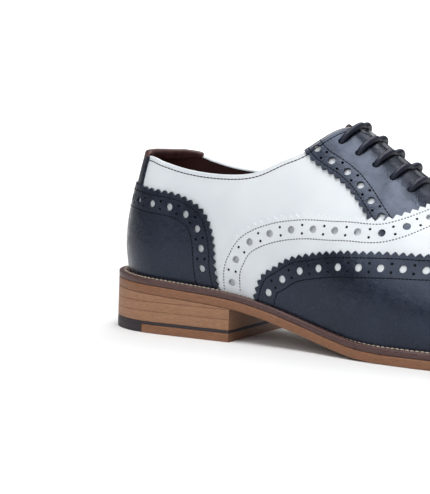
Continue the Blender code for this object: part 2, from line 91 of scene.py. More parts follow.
# Eyelets, and the lace with its clearances and its braid
EYELET_ROWS = 5
FIRST_EYELET_ALONG = 153.5
EYELET_PITCH = 9.65
EYELET_RISE = (0.672, 0.700)
LACE_RADIUS = 1.62
LACE_CLEARANCE = 0.05
LACE_UNDER = 0.2
EYELET_CLEARANCE = 0.15
TUBE_STEP = 0.4
BRAID_LAY = 2.6
BRAID_STRANDS = 3
BRAID_RELIEF = 0.045
STEEP = 0.9
SQUARE_STEPS = 12


def table(columns, *rows):
    """Columns of numbers by name, from one row for each section."""
    return dict(zip(columns.split(), np.array(rows, float).T))


# Sole outline: x in percent of the length, half widths in percent of the ball width from the centre
# line, which swings to the inner side, and the width of the welt's shelf outside the upper
SOLE = table(
    "x lateral medial centre shelf",
    (0, 31.4, 30.8, 0.0, 5.0),
    (12, 32.0, 31.2, 0.0, 4.9),
    (27, 32.9, 30.7, 0.0, 4.8),
    (36, 34.4, 29.6, 0.2, 4.9),
    (43, 37.8, 31.1, 0.6, 5.1),
    (50, 43.6, 36.3, 1.2, 5.4),
    (56, 47.4, 42.0, 2.0, 5.7),
    (63, 49.9, 46.3, 3.0, 6.0),
    (70, 50.1, 47.7, 3.8, 6.2),
    (79, 49.1, 46.7, 4.6, 6.2),
    (100, 43.9, 42.0, 6.0, 6.2),
)

# Underside of the outsole: heel seat, arch, flat tread and toe spring
TREAD = table(
    "x height",
    (0, HEEL_HEIGHT * 1.32),
    (13.7, HEEL_HEIGHT * 1.17),
    (26.8, HEEL_HEIGHT),
    (33.3, HEEL_HEIGHT * 0.79),
    (39.9, HEEL_HEIGHT * 0.49),
    (46.4, HEEL_HEIGHT * 0.21),
    (51.6, HEEL_HEIGHT * 0.045),
    (56.0, 0.0),
    (63.5, 0.0),
    (79.1, TOE_SPRING * 0.25),
    (100, TOE_SPRING),
)

# Sections of the last: how far each side swells beyond the feather line and how high, the height of
# the ridge in percent of the instep height, and how far the flanks draw in towards the ridge
LAST = table(
    "x lateral_swell medial_swell swell_height ridge taper",
    (0, 2.6, 2.6, 18, 135.6, 0.00),
    (12, 2.8, 2.8, 19, 133.9, 0.00),
    (23.5, 2.6, 2.2, 21, 128.8, 0.05),
    (33.3, 2.4, 1.6, 22, 117.8, 0.14),
    (43, 2.2, 1.4, 22, 100.3, 0.24),
    (50, 2.0, 1.6, 20, 88.0, 0.24),
    (56, 1.6, 2.0, 18, 77.0, 0.18),
    (63, 1.4, 2.2, 16, 64.9, 0.08),
    (71, 1.4, 2.0, 15, 52.9, -0.02),
    (81, 1.6, 1.8, 14, 43.5, -0.10),
    (100, 1.6, 1.6, 13, 37.3, -0.15),
)

# Back of the upper: how far it stands forward of the sole's back at each height over the welt
BACK = table(
    "height x",
    (-5, 8.0),
    (0, 7.4),
    (18, 5.8),
    (40, 9.0),
    (55, 12.9),
    (72, 17.6),
    (90, 22.8),
)

INSOLE_INSET = table(
    "x inset",
    (0, 11.0),
    (14, 8.4),
    (60, 8.6),
    (80, 10.0),
    (100, 10.5),
)

# Top edge of the upper
FACING_START = 136.5
THROAT_START = 163.0
THROAT_END = 206.0
COLLAR_EDGE = table(
    "along rise",
    (0, 0.334),
    (28, 0.335),
    (50, 0.333),
    (66, 0.317),
    (84, 0.310),
    (100, 0.320),
    (114, 0.355),
    (127, 0.430),
    (137, 0.510),
    (146, 0.645),
    (154, 0.805),
    (159, 0.895),
    (THROAT_START, 0.945),
)
THROAT_EDGE = table(
    "along rise",
    (THROAT_START, 0.945),
    (172, 0.957),
    (188, 0.957),
    (206, 0.957),
)

# Crown of the instep, pressed flat under the lacing: how far it lies under the last's round top
CROWN_RISE = 0.72
CROWN = table(
    "along drop",
    (140, 0.0),
    (146, 0.0),
    (160, 1.1),
    (172, 2.2),
    (184, 2.8),
    (198, 3.1),
    (210, 2.8),
    (228, 1.3),
    (244, 0.0),
    (248, 0.0),
)

TONGUE_EDGE = table(
    "along rise",
    (153, 0.62),
    (165, 0.66),
    (190, 0.72),
    (215, 0.78),
)

# Where the rounding of heel and toe starts and ends, and how full the last is there
HEEL_ARC = 0.118 * SHOE_LENGTH
TOE_START = 0.745 * SHOE_LENGTH
ALONG_HEEL = HEEL_ARC * math.pi / 2
ALONG_TOE = ALONG_HEEL + TOE_START - HEEL_ARC
ALONG_TIP = ALONG_TOE + (SHOE_LENGTH - TOE_START) * math.pi / 2
TOE_SHELF = 5.5
NOSE_DROP = 0.5
NOSE_BEND = 1.6
SWELL_RISE = 0.13
SWELL_SHARE = 0.45

# Gimped edges of the panels on the outer side, from the welt up, as (along, rise)
FOOT_RISE = 0.004
COUNTER_LINE = (
    (94.5, FOOT_RISE), (92.6, 0.077), (91.9, 0.135), (89.6, 0.176), (85.6, 0.209), (79.3, 0.230),
    (68.8, 0.247), (54.8, 0.253), (40, 0.257), (20, 0.259), (0, 0.260),
)
VAMP_LINE = (
    (95.0, FOOT_RISE), (95.3, 0.079), (100.6, 0.149), (108.2, 0.189), (119.9, 0.229), (133.1, 0.270),
    (145.2, 0.308), (159.6, 0.354), (171.9, 0.401), (183.6, 0.452), (192, 0.526), (200, 0.648),
    (205, 0.80), (207, 1.0),
)
WING_LINE = (
    (115.2, FOOT_RISE), (119.1, 0.073), (126.4, 0.118), (133.4, 0.150), (145.4, 0.189), (157.5, 0.2275),
    (170.3, 0.269), (183, 0.3095), (194.8, 0.350), (206.3, 0.391), (219, 0.45), (235, 0.55),
    (243.5, 0.65), (246.5, 0.75), (243.5, 0.86), (231, 1.0),
)
FACING_LINE = (
    (136.2, 0.503), (140.6, 0.487), (149.2, 0.483), (159.3, 0.482), (168.3, 0.455), (172.9, 0.432),
    (176.8, 0.413), (184, 0.385), (194, 0.372),
)

# Brogueing: pinked teeth, rows of stitches and punched holes, measured in from the teeth's tips
TOOTH_PITCH = 4.1
TOOTH_DEPTH = 2.0
TOOTH_POINTS = 6
TOOTH_ROUNDING = 0.06
OUTER_STITCH = 3.3
HOLE_LINE = 8.0
INNER_STITCH = 12.8
HOLE_RADIUS = 1.95
PINHOLE_RADIUS = 0.72
PINHOLE_SPREAD = 2.1
UNDERLAP = 12.0
OVERLAP = 0.1

# Edges turned down as (reach, drop) in bevels, points round a hole and its floor, and the size of a
# panel's triangles
EDGE_BEVEL = 0.22
EDGE_TURN = ((0.6, 0.12), (0.9, 0.45), (1.0, 1.0))
HOLE_POINTS = 16
PINHOLE_POINTS = 8
FLOOR_POINTS = 12
PANEL_SPACING = 2.3
FINE_SPACING = 1.8
EDGE_CLEARANCE = 0.45

# First hole of each row as (along, rise) with the distance between its holes, and where rows end
COUNTER_HOLES = (85.7, 0.064, 10.2)
VAMP_HOLES = (104.1, 0.036, 12.0)
WING_HOLES = (124.4, 0.045, 11.6)
FACING_HOLES = (143.0, 0.560, 10.6)
FACING_HOLE_LINE = 6.2
FACING_HOLES_END = 183.2
VAMP_HOLES_END = 0.95
WING_HOLES_END = 0.92
FACING_UNDER_VAMP = 173.0

# Discs of painted shade in the holes: their lifts over what lies under the panel
FLOOR_LIFT = 0.12
VAMP_FLOOR_LIFT = 0.15
WHITE_FLOOR_LIFT = 0.25

# Rows of stitches beside the upper's top edge, the quarters under it, its fold and its run under the vamp
FACING_STITCHES = (2.6, 9.8)
FACING_STITCH_END = 196.0
THROAT_STITCH = 1.8
COLLAR_STITCH = 1.5
COLLAR_STITCH_LIFT = 0.02
STITCH_LINE_POINTS = 400
STITCH_SINK = 0.4
HEEL_GRID_END = 60.0
QUARTER_TOP = 0.995
COLLAR_OVERLAP = 0.5
FOLD_INSET = 1.0
FOLD_LIFT = 0.03
FOLD_POINTS = 11
FACING_INSET = 0.9
FACING_PAST_THROAT = 10.0
FOLD_PAST_THROAT = 6.0

# Plain toe of the wing: where it starts, and where its rows draw together at the ridge
DOME_SLOPE = 340.0
DOME_REACH = 45.0
DOME_CLOSE = 0.9
DOME_ROWS = 60

# Lining and tongue under the upper
LINING_GAP = 0.12
LINING_DROP = 0.006
TONGUE_GAP = 1.0
TONGUE_SAG = 2.8
TONGUE_THICK = 1.6

# Edge of the back strap, from the counter up, and the tab: how far it stands over the collar, drops
# outside it and stands proud of it, from its outer to its inner end
STRAP_EDGE = ((37.6, 0.240), (37.9, 0.268), (38.9, 0.300), (40.8, 0.332))
STRAP_STITCH = 1.3
TAB_INSIDE = 2.4
TAB = table(
    "u stand drop proud",
    (39.0, 1.1, 0.2, 0.05),
    (38.4, 2.2, 0.9, 0.5),
    (35.0, 3.0, 1.0, 0.75),
    (0, 3.4, 1.0, 0.8),
    (-31.0, 3.0, 1.0, 0.75),
    (-34.5, 2.6, 0.8, 0.6),
    (-46.5, 1.9, 0.6, 0.5),
    (-48.0, 1.6, 0.5, 0.4),
    (-48.7, 1.1, 0.2, 0.05),
)

# Lift of each panel's face over the upper's base
STRAP_LIFT = 0.7
FACING_LIFT = 1.5
COUNTER_LIFT = 1.5
VAMP_LIFT = 2.0
WING_LIFT = 2.7

# Soft creases and hollows on one side or both: centre, half length, half width, turn from the along
# direction and depth
BOTH = 0.0
CREASES = table(
    "side along rise length width turn depth",
    (BOTH, 206, 0.66, 26, 5.0, 68, 0.45),
    (BOTH, 219, 0.70, 22, 5.5, 74, -0.30),
    (BOTH, 229, 0.62, 24, 5.0, 66, 0.35),
    (LATERAL, 196, 0.22, 30, 9.0, 12, 0.50),
    (LATERAL, 232, 0.25, 26, 10.0, -10, 0.40),
    (BOTH, 118, 0.30, 24, 8.0, 30, 0.45),
    (LATERAL, 70, 0.13, 22, 12.0, 80, 0.40),
    (BOTH, 183, 0.60, 16, 4.0, 100, 0.35),
)

# Length of the upper from welt to ridge, which makes rise comparable with along
GIRTH = 75.0

# Search for places on the upper: number of steps and the longest of them
NEAREST_STEPS = 8
LONGEST_STEP = 4.0

# Studio: sky colours from the horizon up, and soft round lights as (name, place, width, power)
SKY = ((0.0, (0.15, 0.155, 0.16)), (0.35, (0.22, 0.225, 0.23)), (1.0, (0.52, 0.53, 0.545)))
LIGHTS = (
    ("overhead", (-0.02, -0.30, 1.15), 0.9, 15.0),
    ("front_left", (-0.42, -1.3, 0.75), 1.0, 6.5),
    ("front_right", (1.2, -1.0, 0.8), 0.9, 1.6),
    ("back_top", (-0.10, 0.50, 0.90), 0.6, 3.2),
)
LIGHT_TARGET = (0.0, 0.0, 0.05)

# Floor and backdrop: sizes in metres, tone, and a glow that keeps them white beyond the reach of the lights
STAGE_SIDE = 6.0
STAGE_BACK = 4.0
STAGE_TOP = 5.0
STAGE_TONE = 0.66
STAGE_ROUGHNESS = 0.7
FLOOR_GLOW = (0.0, 0.75)
FLOOR_GLOW_REACH = (0.15, 1.1)
BACKDROP_GLOW = 1.0

# Camera: yaw, pitch and roll in degrees, place in metres, lens and sensor in millimetres
CAMERA_TURN = (26.92, 5.5, 1.98)
CAMERA_PLACE = (0.28793, -0.76291, 0.12759)
CAMERA_LENS = 114.64
CAMERA_SENSOR = 36.0


def natural_curve(xs, ys):
    """Smooth function through points, as a natural cubic spline."""
    count = len(xs)
    step = np.diff(xs)
    slope = np.diff(ys) / step
    system = np.eye(count)
    bend = np.zeros(count)
    for i in range(1, count - 1):
        system[i, i - 1:i + 2] = step[i - 1], 2 * (step[i - 1] + step[i]), step[i]
        bend[i] = 6 * (slope[i] - slope[i - 1])
    second = np.linalg.solve(system, bend)

    def value(x):
        x = np.clip(x, xs[0], xs[-1])
        i = np.clip(np.searchsorted(xs, x) - 1, 0, count - 2)
        before = x - xs[i]
        after = xs[i + 1] - x
        cubic = (second[i] * after ** 3 + second[i + 1] * before ** 3) / (6 * step[i])
        left = (ys[i] / step[i] - second[i] * step[i] / 6) * after
        right = (ys[i + 1] / step[i] - second[i + 1] * step[i] / 6) * before
        return cubic + left + right

    return value


def monotone_curve(xs, ys):
    """Smooth function through points that never overshoots them, so that flats stay flat."""
    step = np.diff(xs)
    slope = np.diff(ys) / step
    tangent = np.zeros(len(xs))
    for i in range(1, len(xs) - 1):
        if slope[i - 1] * slope[i] > 0:
            near = 2 * step[i] + step[i - 1]
            far = step[i] + 2 * step[i - 1]
            tangent[i] = (near + far) / (near / slope[i - 1] + far / slope[i])
    tangent[0] = slope[0]
    tangent[-1] = slope[-1]

    def value(x):
        x = np.clip(x, xs[0], xs[-1])
        i = np.clip(np.searchsorted(xs, x) - 1, 0, len(xs) - 2)
        t = (x - xs[i]) / step[i]
        rest = 1 - t
        start = ys[i] * (1 + 2 * t) * rest ** 2 + tangent[i] * step[i] * t * rest ** 2
        end = ys[i + 1] * t ** 2 * (3 - 2 * t) - tangent[i + 1] * step[i] * t ** 2 * rest
        return start + end

    return value


def along_length(columns, column, size=1.0, kind=natural_curve):
    """Function of x in millimetres through one column of a table given in percent of the length."""
    return kind(columns["x"] * SHOE_LENGTH / 100, columns[column] * size)


lateral_width = along_length(SOLE, "lateral", BALL_WIDTH / 100)
medial_width = along_length(SOLE, "medial", BALL_WIDTH / 100)
centre_line = along_length(SOLE, "centre")
shelf_width = along_length(SOLE, "shelf")
tread = along_length(TREAD, "height", kind=monotone_curve)
lateral_swell = along_length(LAST, "lateral_swell")
medial_swell = along_length(LAST, "medial_swell")
swell_height = along_length(LAST, "swell_height")
ridge_height = along_length(LAST, "ridge", INSTEP_HEIGHT / 100)
flank_taper = along_length(LAST, "taper")
insole_inset = along_length(INSOLE_INSET, "inset")
back_x = natural_curve(BACK["height"], BACK["x"])
collar_rise = natural_curve(COLLAR_EDGE["along"], COLLAR_EDGE["rise"])
throat_rise = natural_curve(THROAT_EDGE["along"], THROAT_EDGE["rise"])
crown_drop = monotone_curve(CROWN["along"], CROWN["drop"])
tongue_rise = natural_curve(TONGUE_EDGE["along"], TONGUE_EDGE["rise"])


def top_rise(along):
    """Rise of the upper's top edge: the collar behind and the throat in front."""
    return np.where(along < THROAT_START, collar_rise(along), throat_rise(along))


def station(along, back=0.0, tip=SHOE_LENGTH):
    """X at a distance along the side, with the turn round the heel and the sweep round the toe."""
    turn = np.clip(along / ALONG_HEEL, 0, 1) * math.pi / 2
    sweep = np.clip((along - ALONG_TOE) / (ALONG_TIP - ALONG_TOE), 0, 1) * math.pi / 2
    straight = np.clip(along - ALONG_HEEL, 0, TOE_START - HEEL_ARC)
    x = HEEL_ARC - (HEEL_ARC - back) * np.cos(turn) + straight + (tip - TOE_START) * np.sin(sweep)
    return x, turn, sweep


def half_width(x, side):
    """Half width of the sole on one side of the centre line."""
    return np.where(side < 0, lateral_width(x), medial_width(x))


def sole_edge(along, side, inset=0.0):
    """Plan point of the sole's edge, moved in by an inset."""
    x, turn, sweep = station(along, inset, SHOE_LENGTH - inset)
    width = (half_width(x, side) - inset) * np.sin(turn) * np.cos(sweep)
    return x, centre_line(x) + side * width


def feather_height(x):
    """Height of the upper's lower edge, just over the welt."""
    return tread(x) + OUTSOLE_THICK + WELT_THICK + 2 * GAP


# How steeply the ridge falls towards the welt where the toe's rounding starts
NOSE_FALL = (ridge_height(TOE_START - 1) - feather_height(TOE_START - 1)
             - ridge_height(TOE_START) + feather_height(TOE_START))

# The frame's origin is under the middle of the sole's outline
OUTLINE = np.linspace(0, ALONG_TIP, 400)
ORIGIN = np.array([SHOE_LENGTH / 2,
                   (sole_edge(OUTLINE, LATERAL)[1].min() + sole_edge(OUTLINE, MEDIAL)[1].max()) / 2, 0.0])


def last(along, rise, side):
    """Points of the last, with level lines that run round heel and toe."""
    x, turn, sweep = station(along, 0.0, SHOE_LENGTH - TOE_SHELF)
    section = np.minimum(x, TOE_START)
    foot = half_width(x, side) - shelf_width(x)
    widest = foot + np.where(side < 0, lateral_swell(section), medial_swell(section)) * np.cos(sweep)
    full_height = ridge_height(section) - feather_height(section)
    flank_swell = np.minimum(swell_height(section), SWELL_SHARE * full_height)
    swell = flank_swell * (1 - NOSE_DROP * np.sin(sweep) ** 2)
    below = np.clip(1 - rise / SWELL_RISE, 0, 1)
    above = np.clip((rise - SWELL_RISE) / (1 - SWELL_RISE), 0, 1)
    share = above * (2 - above)
    height = swell * (1 - below) + (full_height - swell) * share
    flank = np.sqrt(np.clip(1 - share ** 2, 0, 1)) * (1 - flank_taper(section) * share ** 2)
    width = (widest * flank - (widest - foot) * below ** 2) * np.sin(turn) * np.cos(sweep)
    back = back_x(height)
    round_heel = back + (HEEL_ARC - back) * x / HEEL_ARC
    nose = (x - section) * np.sqrt(np.clip(1 - share ** 2, 0, 1))
    true_x = np.where(along < ALONG_HEEL, round_heel, section + nose)
    pressed = np.clip((rise - CROWN_RISE) / (1 - CROWN_RISE), 0, 1)
    drop = NOSE_FALL * share ** NOSE_BEND * nose + crown_drop(along) * pressed ** 2 * (3 - 2 * pressed)
    z = feather_height(true_x) + height - drop
    return np.stack([true_x, centre_line(true_x) + side * width, z], -1)


def normals_of(surface, along, rise, side):
    """Unit normals of a surface of along, rise and side."""
    small_along = 0.02
    small_rise = 0.0005
    on_top = rise > 1 - TINY
    a = np.clip(along, small_along, np.where(on_top, ALONG_TOE, ALONG_TIP - small_along))
    r = np.clip(rise, 2 * small_rise, 1 - 2 * small_rise)
    forward = surface(a + small_along, r, side) - surface(a - small_along, r, side)
    upward = surface(a, r + small_rise, side) - surface(a, r - small_rise, side)
    normal = np.cross(upward, forward) * side[..., None]
    on_centre = on_top | (along < TINY) | (along > ALONG_TIP - TINY)
    normal[..., 1] = np.where(on_centre, 0.0, normal[..., 1])
    return normal / np.linalg.norm(normal, axis=-1, keepdims=True)


def crease_depth(along, rise, side):
    """Depth of the soft creases at a place on the upper."""
    depth = np.zeros_like(along)
    for i, turn in enumerate(np.radians(CREASES["turn"])):
        forward = along - CREASES["along"][i]
        up = (rise - CREASES["rise"][i]) * GIRTH
        lengthways = (forward * math.cos(turn) + up * math.sin(turn)) / CREASES["length"][i]
        across = (up * math.cos(turn) - forward * math.sin(turn)) / CREASES["width"][i]
        shape = np.exp(-lengthways ** 2 - across ** 2)
        elsewhere = side == -CREASES["side"][i]
        depth = depth + np.where(elsewhere, 0.0, CREASES["depth"][i] * shape)
    return depth


def creased(along, rise, side):
    """Points of the upper's base, with its creases."""
    depth = crease_depth(along, rise, side)
    return last(along, rise, side) - depth[..., None] * normals_of(last, along, rise, side)


def round_heel_chart(u, v):
    """Chart that runs round the heel: u is along, positive on the outer side, and v is rise."""
    return np.abs(u), v, np.where(u < 0, MEDIAL, LATERAL)


def over_ridge_chart(u, v):
    """Chart that runs over the ridge: u is along and v is rise, counted on to 2 down the inner side."""
    return u, 1 - np.abs(1 - v), np.where(v > 1, MEDIAL, LATERAL)


def place(chart, uv, lift=0.0):
    """Points and normals of the upper at places of a chart, lifted off its base."""
    along, rise, side = chart(uv[..., 0], uv[..., 1])
    normal = normals_of(creased, along, rise, side)
    return creased(along, rise, side) + np.asarray(lift)[..., None] * normal, normal


def base(chart, u, v):
    """Points of the upper's base at places of a chart."""
    return creased(*chart(u, v))


def to_chart(chart, uv, shift):
    """Step in a chart that moves places by short vectors along the surface."""
    u, v = uv[..., 0], uv[..., 1]
    small_u = 0.05
    small_v = 0.001
    along_u = (base(chart, u + small_u, v) - base(chart, u - small_u, v)) / (2 * small_u)
    along_v = (base(chart, u, v + small_v) - base(chart, u, v - small_v)) / (2 * small_v)
    uu = (along_u * along_u).sum(-1)
    uv_mixed = (along_u * along_v).sum(-1)
    vv = (along_v * along_v).sum(-1)
    to_u = (along_u * shift).sum(-1)
    to_v = (along_v * shift).sum(-1)
    area = uu * vv - uv_mixed ** 2
    return np.stack([(to_u * vv - to_v * uv_mixed) / area, (to_v * uu - to_u * uv_mixed) / area], -1)


def unit(vectors):
    """Vectors of length one."""
    return vectors / np.maximum(np.linalg.norm(vectors, axis=-1, keepdims=True), TINY)


def tangents(points, closed=False):
    """Unit direction of a line of points at each of them."""
    if closed:
        return unit(np.roll(points, -1, -2) - np.roll(points, 1, -2))
    return unit(np.gradient(points, axis=0))


def distances(points):
    """Distance of each point of a line from its start, along the line."""
    return np.concatenate([[0], np.cumsum(np.linalg.norm(np.diff(points, axis=0), axis=1))])


def at_distances(spots, distance, rows):
    """Rows of numbers at spots along a line, from those at its points."""
    return np.stack([np.interp(spots, distance, column) for column in rows.T], -1)


def smooth_path(points, step=0.8):
    """Smooth dense line through a few chart points."""
    points = np.array(points, float)
    distance = distances(points * (1, GIRTH))
    dense = np.linspace(0, distance[-1], int(distance[-1] / step) + 2)
    curves = [natural_curve(distance, points[:, k]) for k in (0, 1)]
    return np.stack([curve(dense) for curve in curves], -1)


def resample(chart, uv, count):
    """Places at equal distances on the surface along a line, both ends among them."""
    distance = distances(base(chart, uv[:, 0], uv[:, 1]))
    return at_distances(np.linspace(0, distance[-1], count), distance, uv)


def length_of(chart, uv):
    """Length of a line on the surface."""
    return distances(base(chart, uv[:, 0], uv[:, 1]))[-1]


def nearest_places(chart, uv, targets):
    """Places whose points lie nearest to the targets, found in short steps from places close by."""
    longest = np.array([LONGEST_STEP, LONGEST_STEP / GIRTH])
    for _ in range(NEAREST_STEPS):
        step = to_chart(chart, uv, targets - base(chart, uv[..., 0], uv[..., 1]))
        uv = uv + np.clip(step, -longest, longest)
        uv[..., 1] = np.clip(uv[..., 1], FOOT_RISE, 2 - FOOT_RISE)
    return uv


def leftwards(chart, uv, distance):
    """Line moved to its left on the surface, seen from outside."""
    points, normal = place(chart, uv)
    left = unit(np.cross(normal, tangents(points)))
    return nearest_places(chart, uv, points + left * np.asarray(distance)[..., None])


def offset_line(chart, uv, distance, steps=4):
    """Line moved in from an edge by a larger distance, in short steps."""
    for _ in range(steps):
        uv = leftwards(chart, uv, np.full(len(uv), distance / steps))
        uv = resample(chart, uv, len(uv))
    return uv


def gimp(chart, uv):
    """Pinked edge: teeth cut in from a line, whose panel is on its left."""
    teeth = round(length_of(chart, uv) / TOOTH_PITCH)
    even = resample(chart, uv, teeth * TOOTH_POINTS + 1)
    phase = np.arange(len(even)) % TOOTH_POINTS / TOOTH_POINTS
    return leftwards(chart, even, TOOTH_DEPTH * (np.hypot(2 * phase - 1, TOOTH_ROUNDING) - TOOTH_ROUNDING))


def hole_rows(chart, uv, layout):
    """Big holes along a line and pairs of small pin holes between them, as (u, v, radius)."""
    *start, pitch = layout
    steps = 2000
    length = length_of(chart, uv)
    fine = resample(chart, uv, steps + 1)
    first = length * np.argmin(np.hypot(*((fine - start) * (1, GIRTH)).T)) / steps
    count = round((length - first) / pitch)
    spots = first + np.arange(count + 1) * (length - first) / count
    middles = (spots[1:] + spots[:-1]) / 2

    def at(line, distance):
        return line[np.round(distance / length * steps).astype(int)]

    holes = [(u, v, HOLE_RADIUS) for u, v in at(fine, spots)]
    for reach in (PINHOLE_SPREAD, -PINHOLE_SPREAD):
        beside = leftwards(chart, fine, np.full(len(fine), reach))
        holes += [(u, v, PINHOLE_RADIUS) for u, v in at(beside, middles)]
    return holes


def hole_loops(chart, holes, points):
    """Circle of chart places round the middle of each hole."""
    holes = np.array(holes)
    centre = holes[:, None, :2]
    middle, normal = place(chart, centre)
    first = unit(np.cross(normal, UP) + TINY * FORWARD)
    second = np.cross(normal, first)
    turn = np.linspace(0, 2 * math.pi, points, endpoint=False)[:, None]
    shift = (holes[:, None, 2:] + EDGE_BEVEL) * (np.cos(turn) * first + np.sin(turn) * second)
    return nearest_places(chart, np.repeat(centre, points, 1), middle + shift)


def fan(count):
    """Triangles from a closed loop of points to the point after them."""
    return [(k, (k + 1) % count, count) for k in range(count)]


class Sheet:
    """Triangles of one mesh with their points' own normals, gathered bit by bit."""

    def __init__(self):
        self.points = []
        self.normals = []
        self.faces = []
        self.count = 0

    def add(self, points, normals, faces):
        """Add triangles, each turned to face the way of its normals; slivers are left out."""
        faces = np.asarray(faces)
        a, b, c = (points[faces[:, k]] for k in range(3))
        cross = np.cross(b - a, c - a)
        facing = (cross * (normals[faces].sum(1))).sum(-1)
        faces = np.where(facing[:, None] < 0, faces[:, ::-1], faces)[np.linalg.norm(cross, axis=1) > SLIVER]
        self.points.append(points)
        self.normals.append(normals)
        self.faces.append(faces + self.count)
        self.count += len(points)

    def add_grid(self, points, normals, closed=False):
        """Add a grid of points; a closed one joins its last row to its first."""
        rows, columns = points.shape[:2]
        i = np.arange(rows if closed else rows - 1)[:, None]
        j = np.arange(columns - 1)[None, :]
        after = (i + 1) % rows
        corners = [i * columns + j, after * columns + j, after * columns + j + 1, i * columns + j + 1]
        a, b, c, d = (corner.ravel() for corner in corners)
        faces = np.concatenate([np.stack([a, b, c], 1), np.stack([a, c, d], 1)])
        self.add(points.reshape(-1, 3), normals.reshape(-1, 3), faces)

    def build(self, name, finish, slot, *nodes):
        """Make the mesh an object that rides on the shoe and stands for CAD nodes."""
        points = np.concatenate(self.points)
        normals = np.concatenate(self.normals)
        faces = np.concatenate(self.faces)
        used, faces = np.unique(faces, return_inverse=True)
        mesh = bpy.data.meshes.new(name)
        mesh.from_pydata(((points[used] - ORIGIN) * MM).tolist(), [], faces.reshape(-1, 3).tolist())
        mesh.shade_smooth()
        mesh.normals_split_custom_set_from_vertices(unit(normals[used]).tolist())
        return add_piece(name, mesh, finish, slot, *nodes)


def add_object(name, data):
    """Put an object in the scene."""
    item = bpy.data.objects.new(name, data)
    bpy.context.scene.collection.objects.link(item)
    return item


def add_piece(name, mesh, finish, slot, *nodes):
    """Put a mesh in the scene as a piece of the shoe."""
    piece = add_object(name, mesh)
    mesh.materials.append(finish)
    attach(piece, "root")
    if nodes:
        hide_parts(*nodes)
    return piece


def inside(points, loop):
    """Which flat points lie inside a closed convex loop that runs counter-clockwise."""
    ahead = np.roll(loop, -1, 0) - loop
    away = points[:, None] - loop
    return (ahead[:, 0] * away[..., 1] - ahead[:, 1] * away[..., 0] > 0).all(1)


def edge_rings(chart, loops, lift, foot, are_holes):
    """Rings of points and normals that turn the edges of a panel down to what lies under it."""
    points, normal = place(chart, loops, lift)
    out = unit(np.cross(tangents(points, closed=True), normal))
    flat = loops * (1, GIRTH)
    ahead = np.roll(flat, -1, 1)
    turning = (flat[..., 0] * ahead[..., 1] - ahead[..., 0] * flat[..., 1]).sum(1)
    out = np.where(((turning < 0) != are_holes)[:, None, None], -out, out)
    ring_points = [points]
    ring_normals = [normal]
    for reach, drop in EDGE_TURN:
        ring_points.append(points + EDGE_BEVEL * (reach * out - drop * normal))
        ring_normals.append(unit(drop * out + (1 - drop) * normal))
    ring_points.append(points + EDGE_BEVEL * out - (lift - foot) * normal)
    ring_normals.append(out)
    return np.stack(ring_points, 2), np.stack(ring_normals, 2)


def cut_panel(chart, outline, holes, lift, foot=0.0, spacing=PANEL_SPACING):
    """Leather panel cut to an outline, with punched holes and turned-down edges."""
    small = [hole for hole in holes if hole[2] <= PINHOLE_RADIUS]
    large = [hole for hole in holes if hole[2] > PINHOLE_RADIUS]
    groups = [outline[None]]
    for sized, points in ((small, PINHOLE_POINTS), (large, HOLE_POINTS)):
        if sized:
            groups.append(hole_loops(chart, sized, points))
    flat = [loop * (1, GIRTH) for group in groups for loop in group]
    low, high = flat[0].min(0), flat[0].max(0)
    across = np.arange(low[0], high[0], spacing)
    up = np.arange(low[1], high[1], spacing * math.sqrt(0.75))
    inner = np.stack(np.meshgrid(across, up), -1)
    inner[1::2, :, 0] += spacing / 2
    inner = inner.reshape(-1, 2)
    for loop in flat:
        near = np.array([np.hypot(*(inner - point).T) < spacing * EDGE_CLEARANCE for point in loop]).any(0)
        inner = inner[~near]
    edges = []
    start = 0
    for loop in flat:
        edges += [(start + k, start + (k + 1) % len(loop)) for k in range(len(loop))]
        start += len(loop)
    corners = [Vector(point) for point in np.concatenate(flat + [inner])]
    found, _, faces, *_ = delaunay_2d_cdt(corners, edges, [], 1, WELD)
    spots = np.array([tuple(point) for point in found])
    faces = np.array([tuple(face) for face in faces])
    for loop in flat[1:]:
        faces = faces[~inside(spots[faces].mean(1), loop)]
    sheet = Sheet()
    sheet.add(*place(chart, spots / (1, GIRTH), lift), faces)
    for group in groups:
        for grid in zip(*edge_rings(chart, group, lift, foot, group is not groups[0])):
            sheet.add_grid(*grid, closed=True)
    return sheet


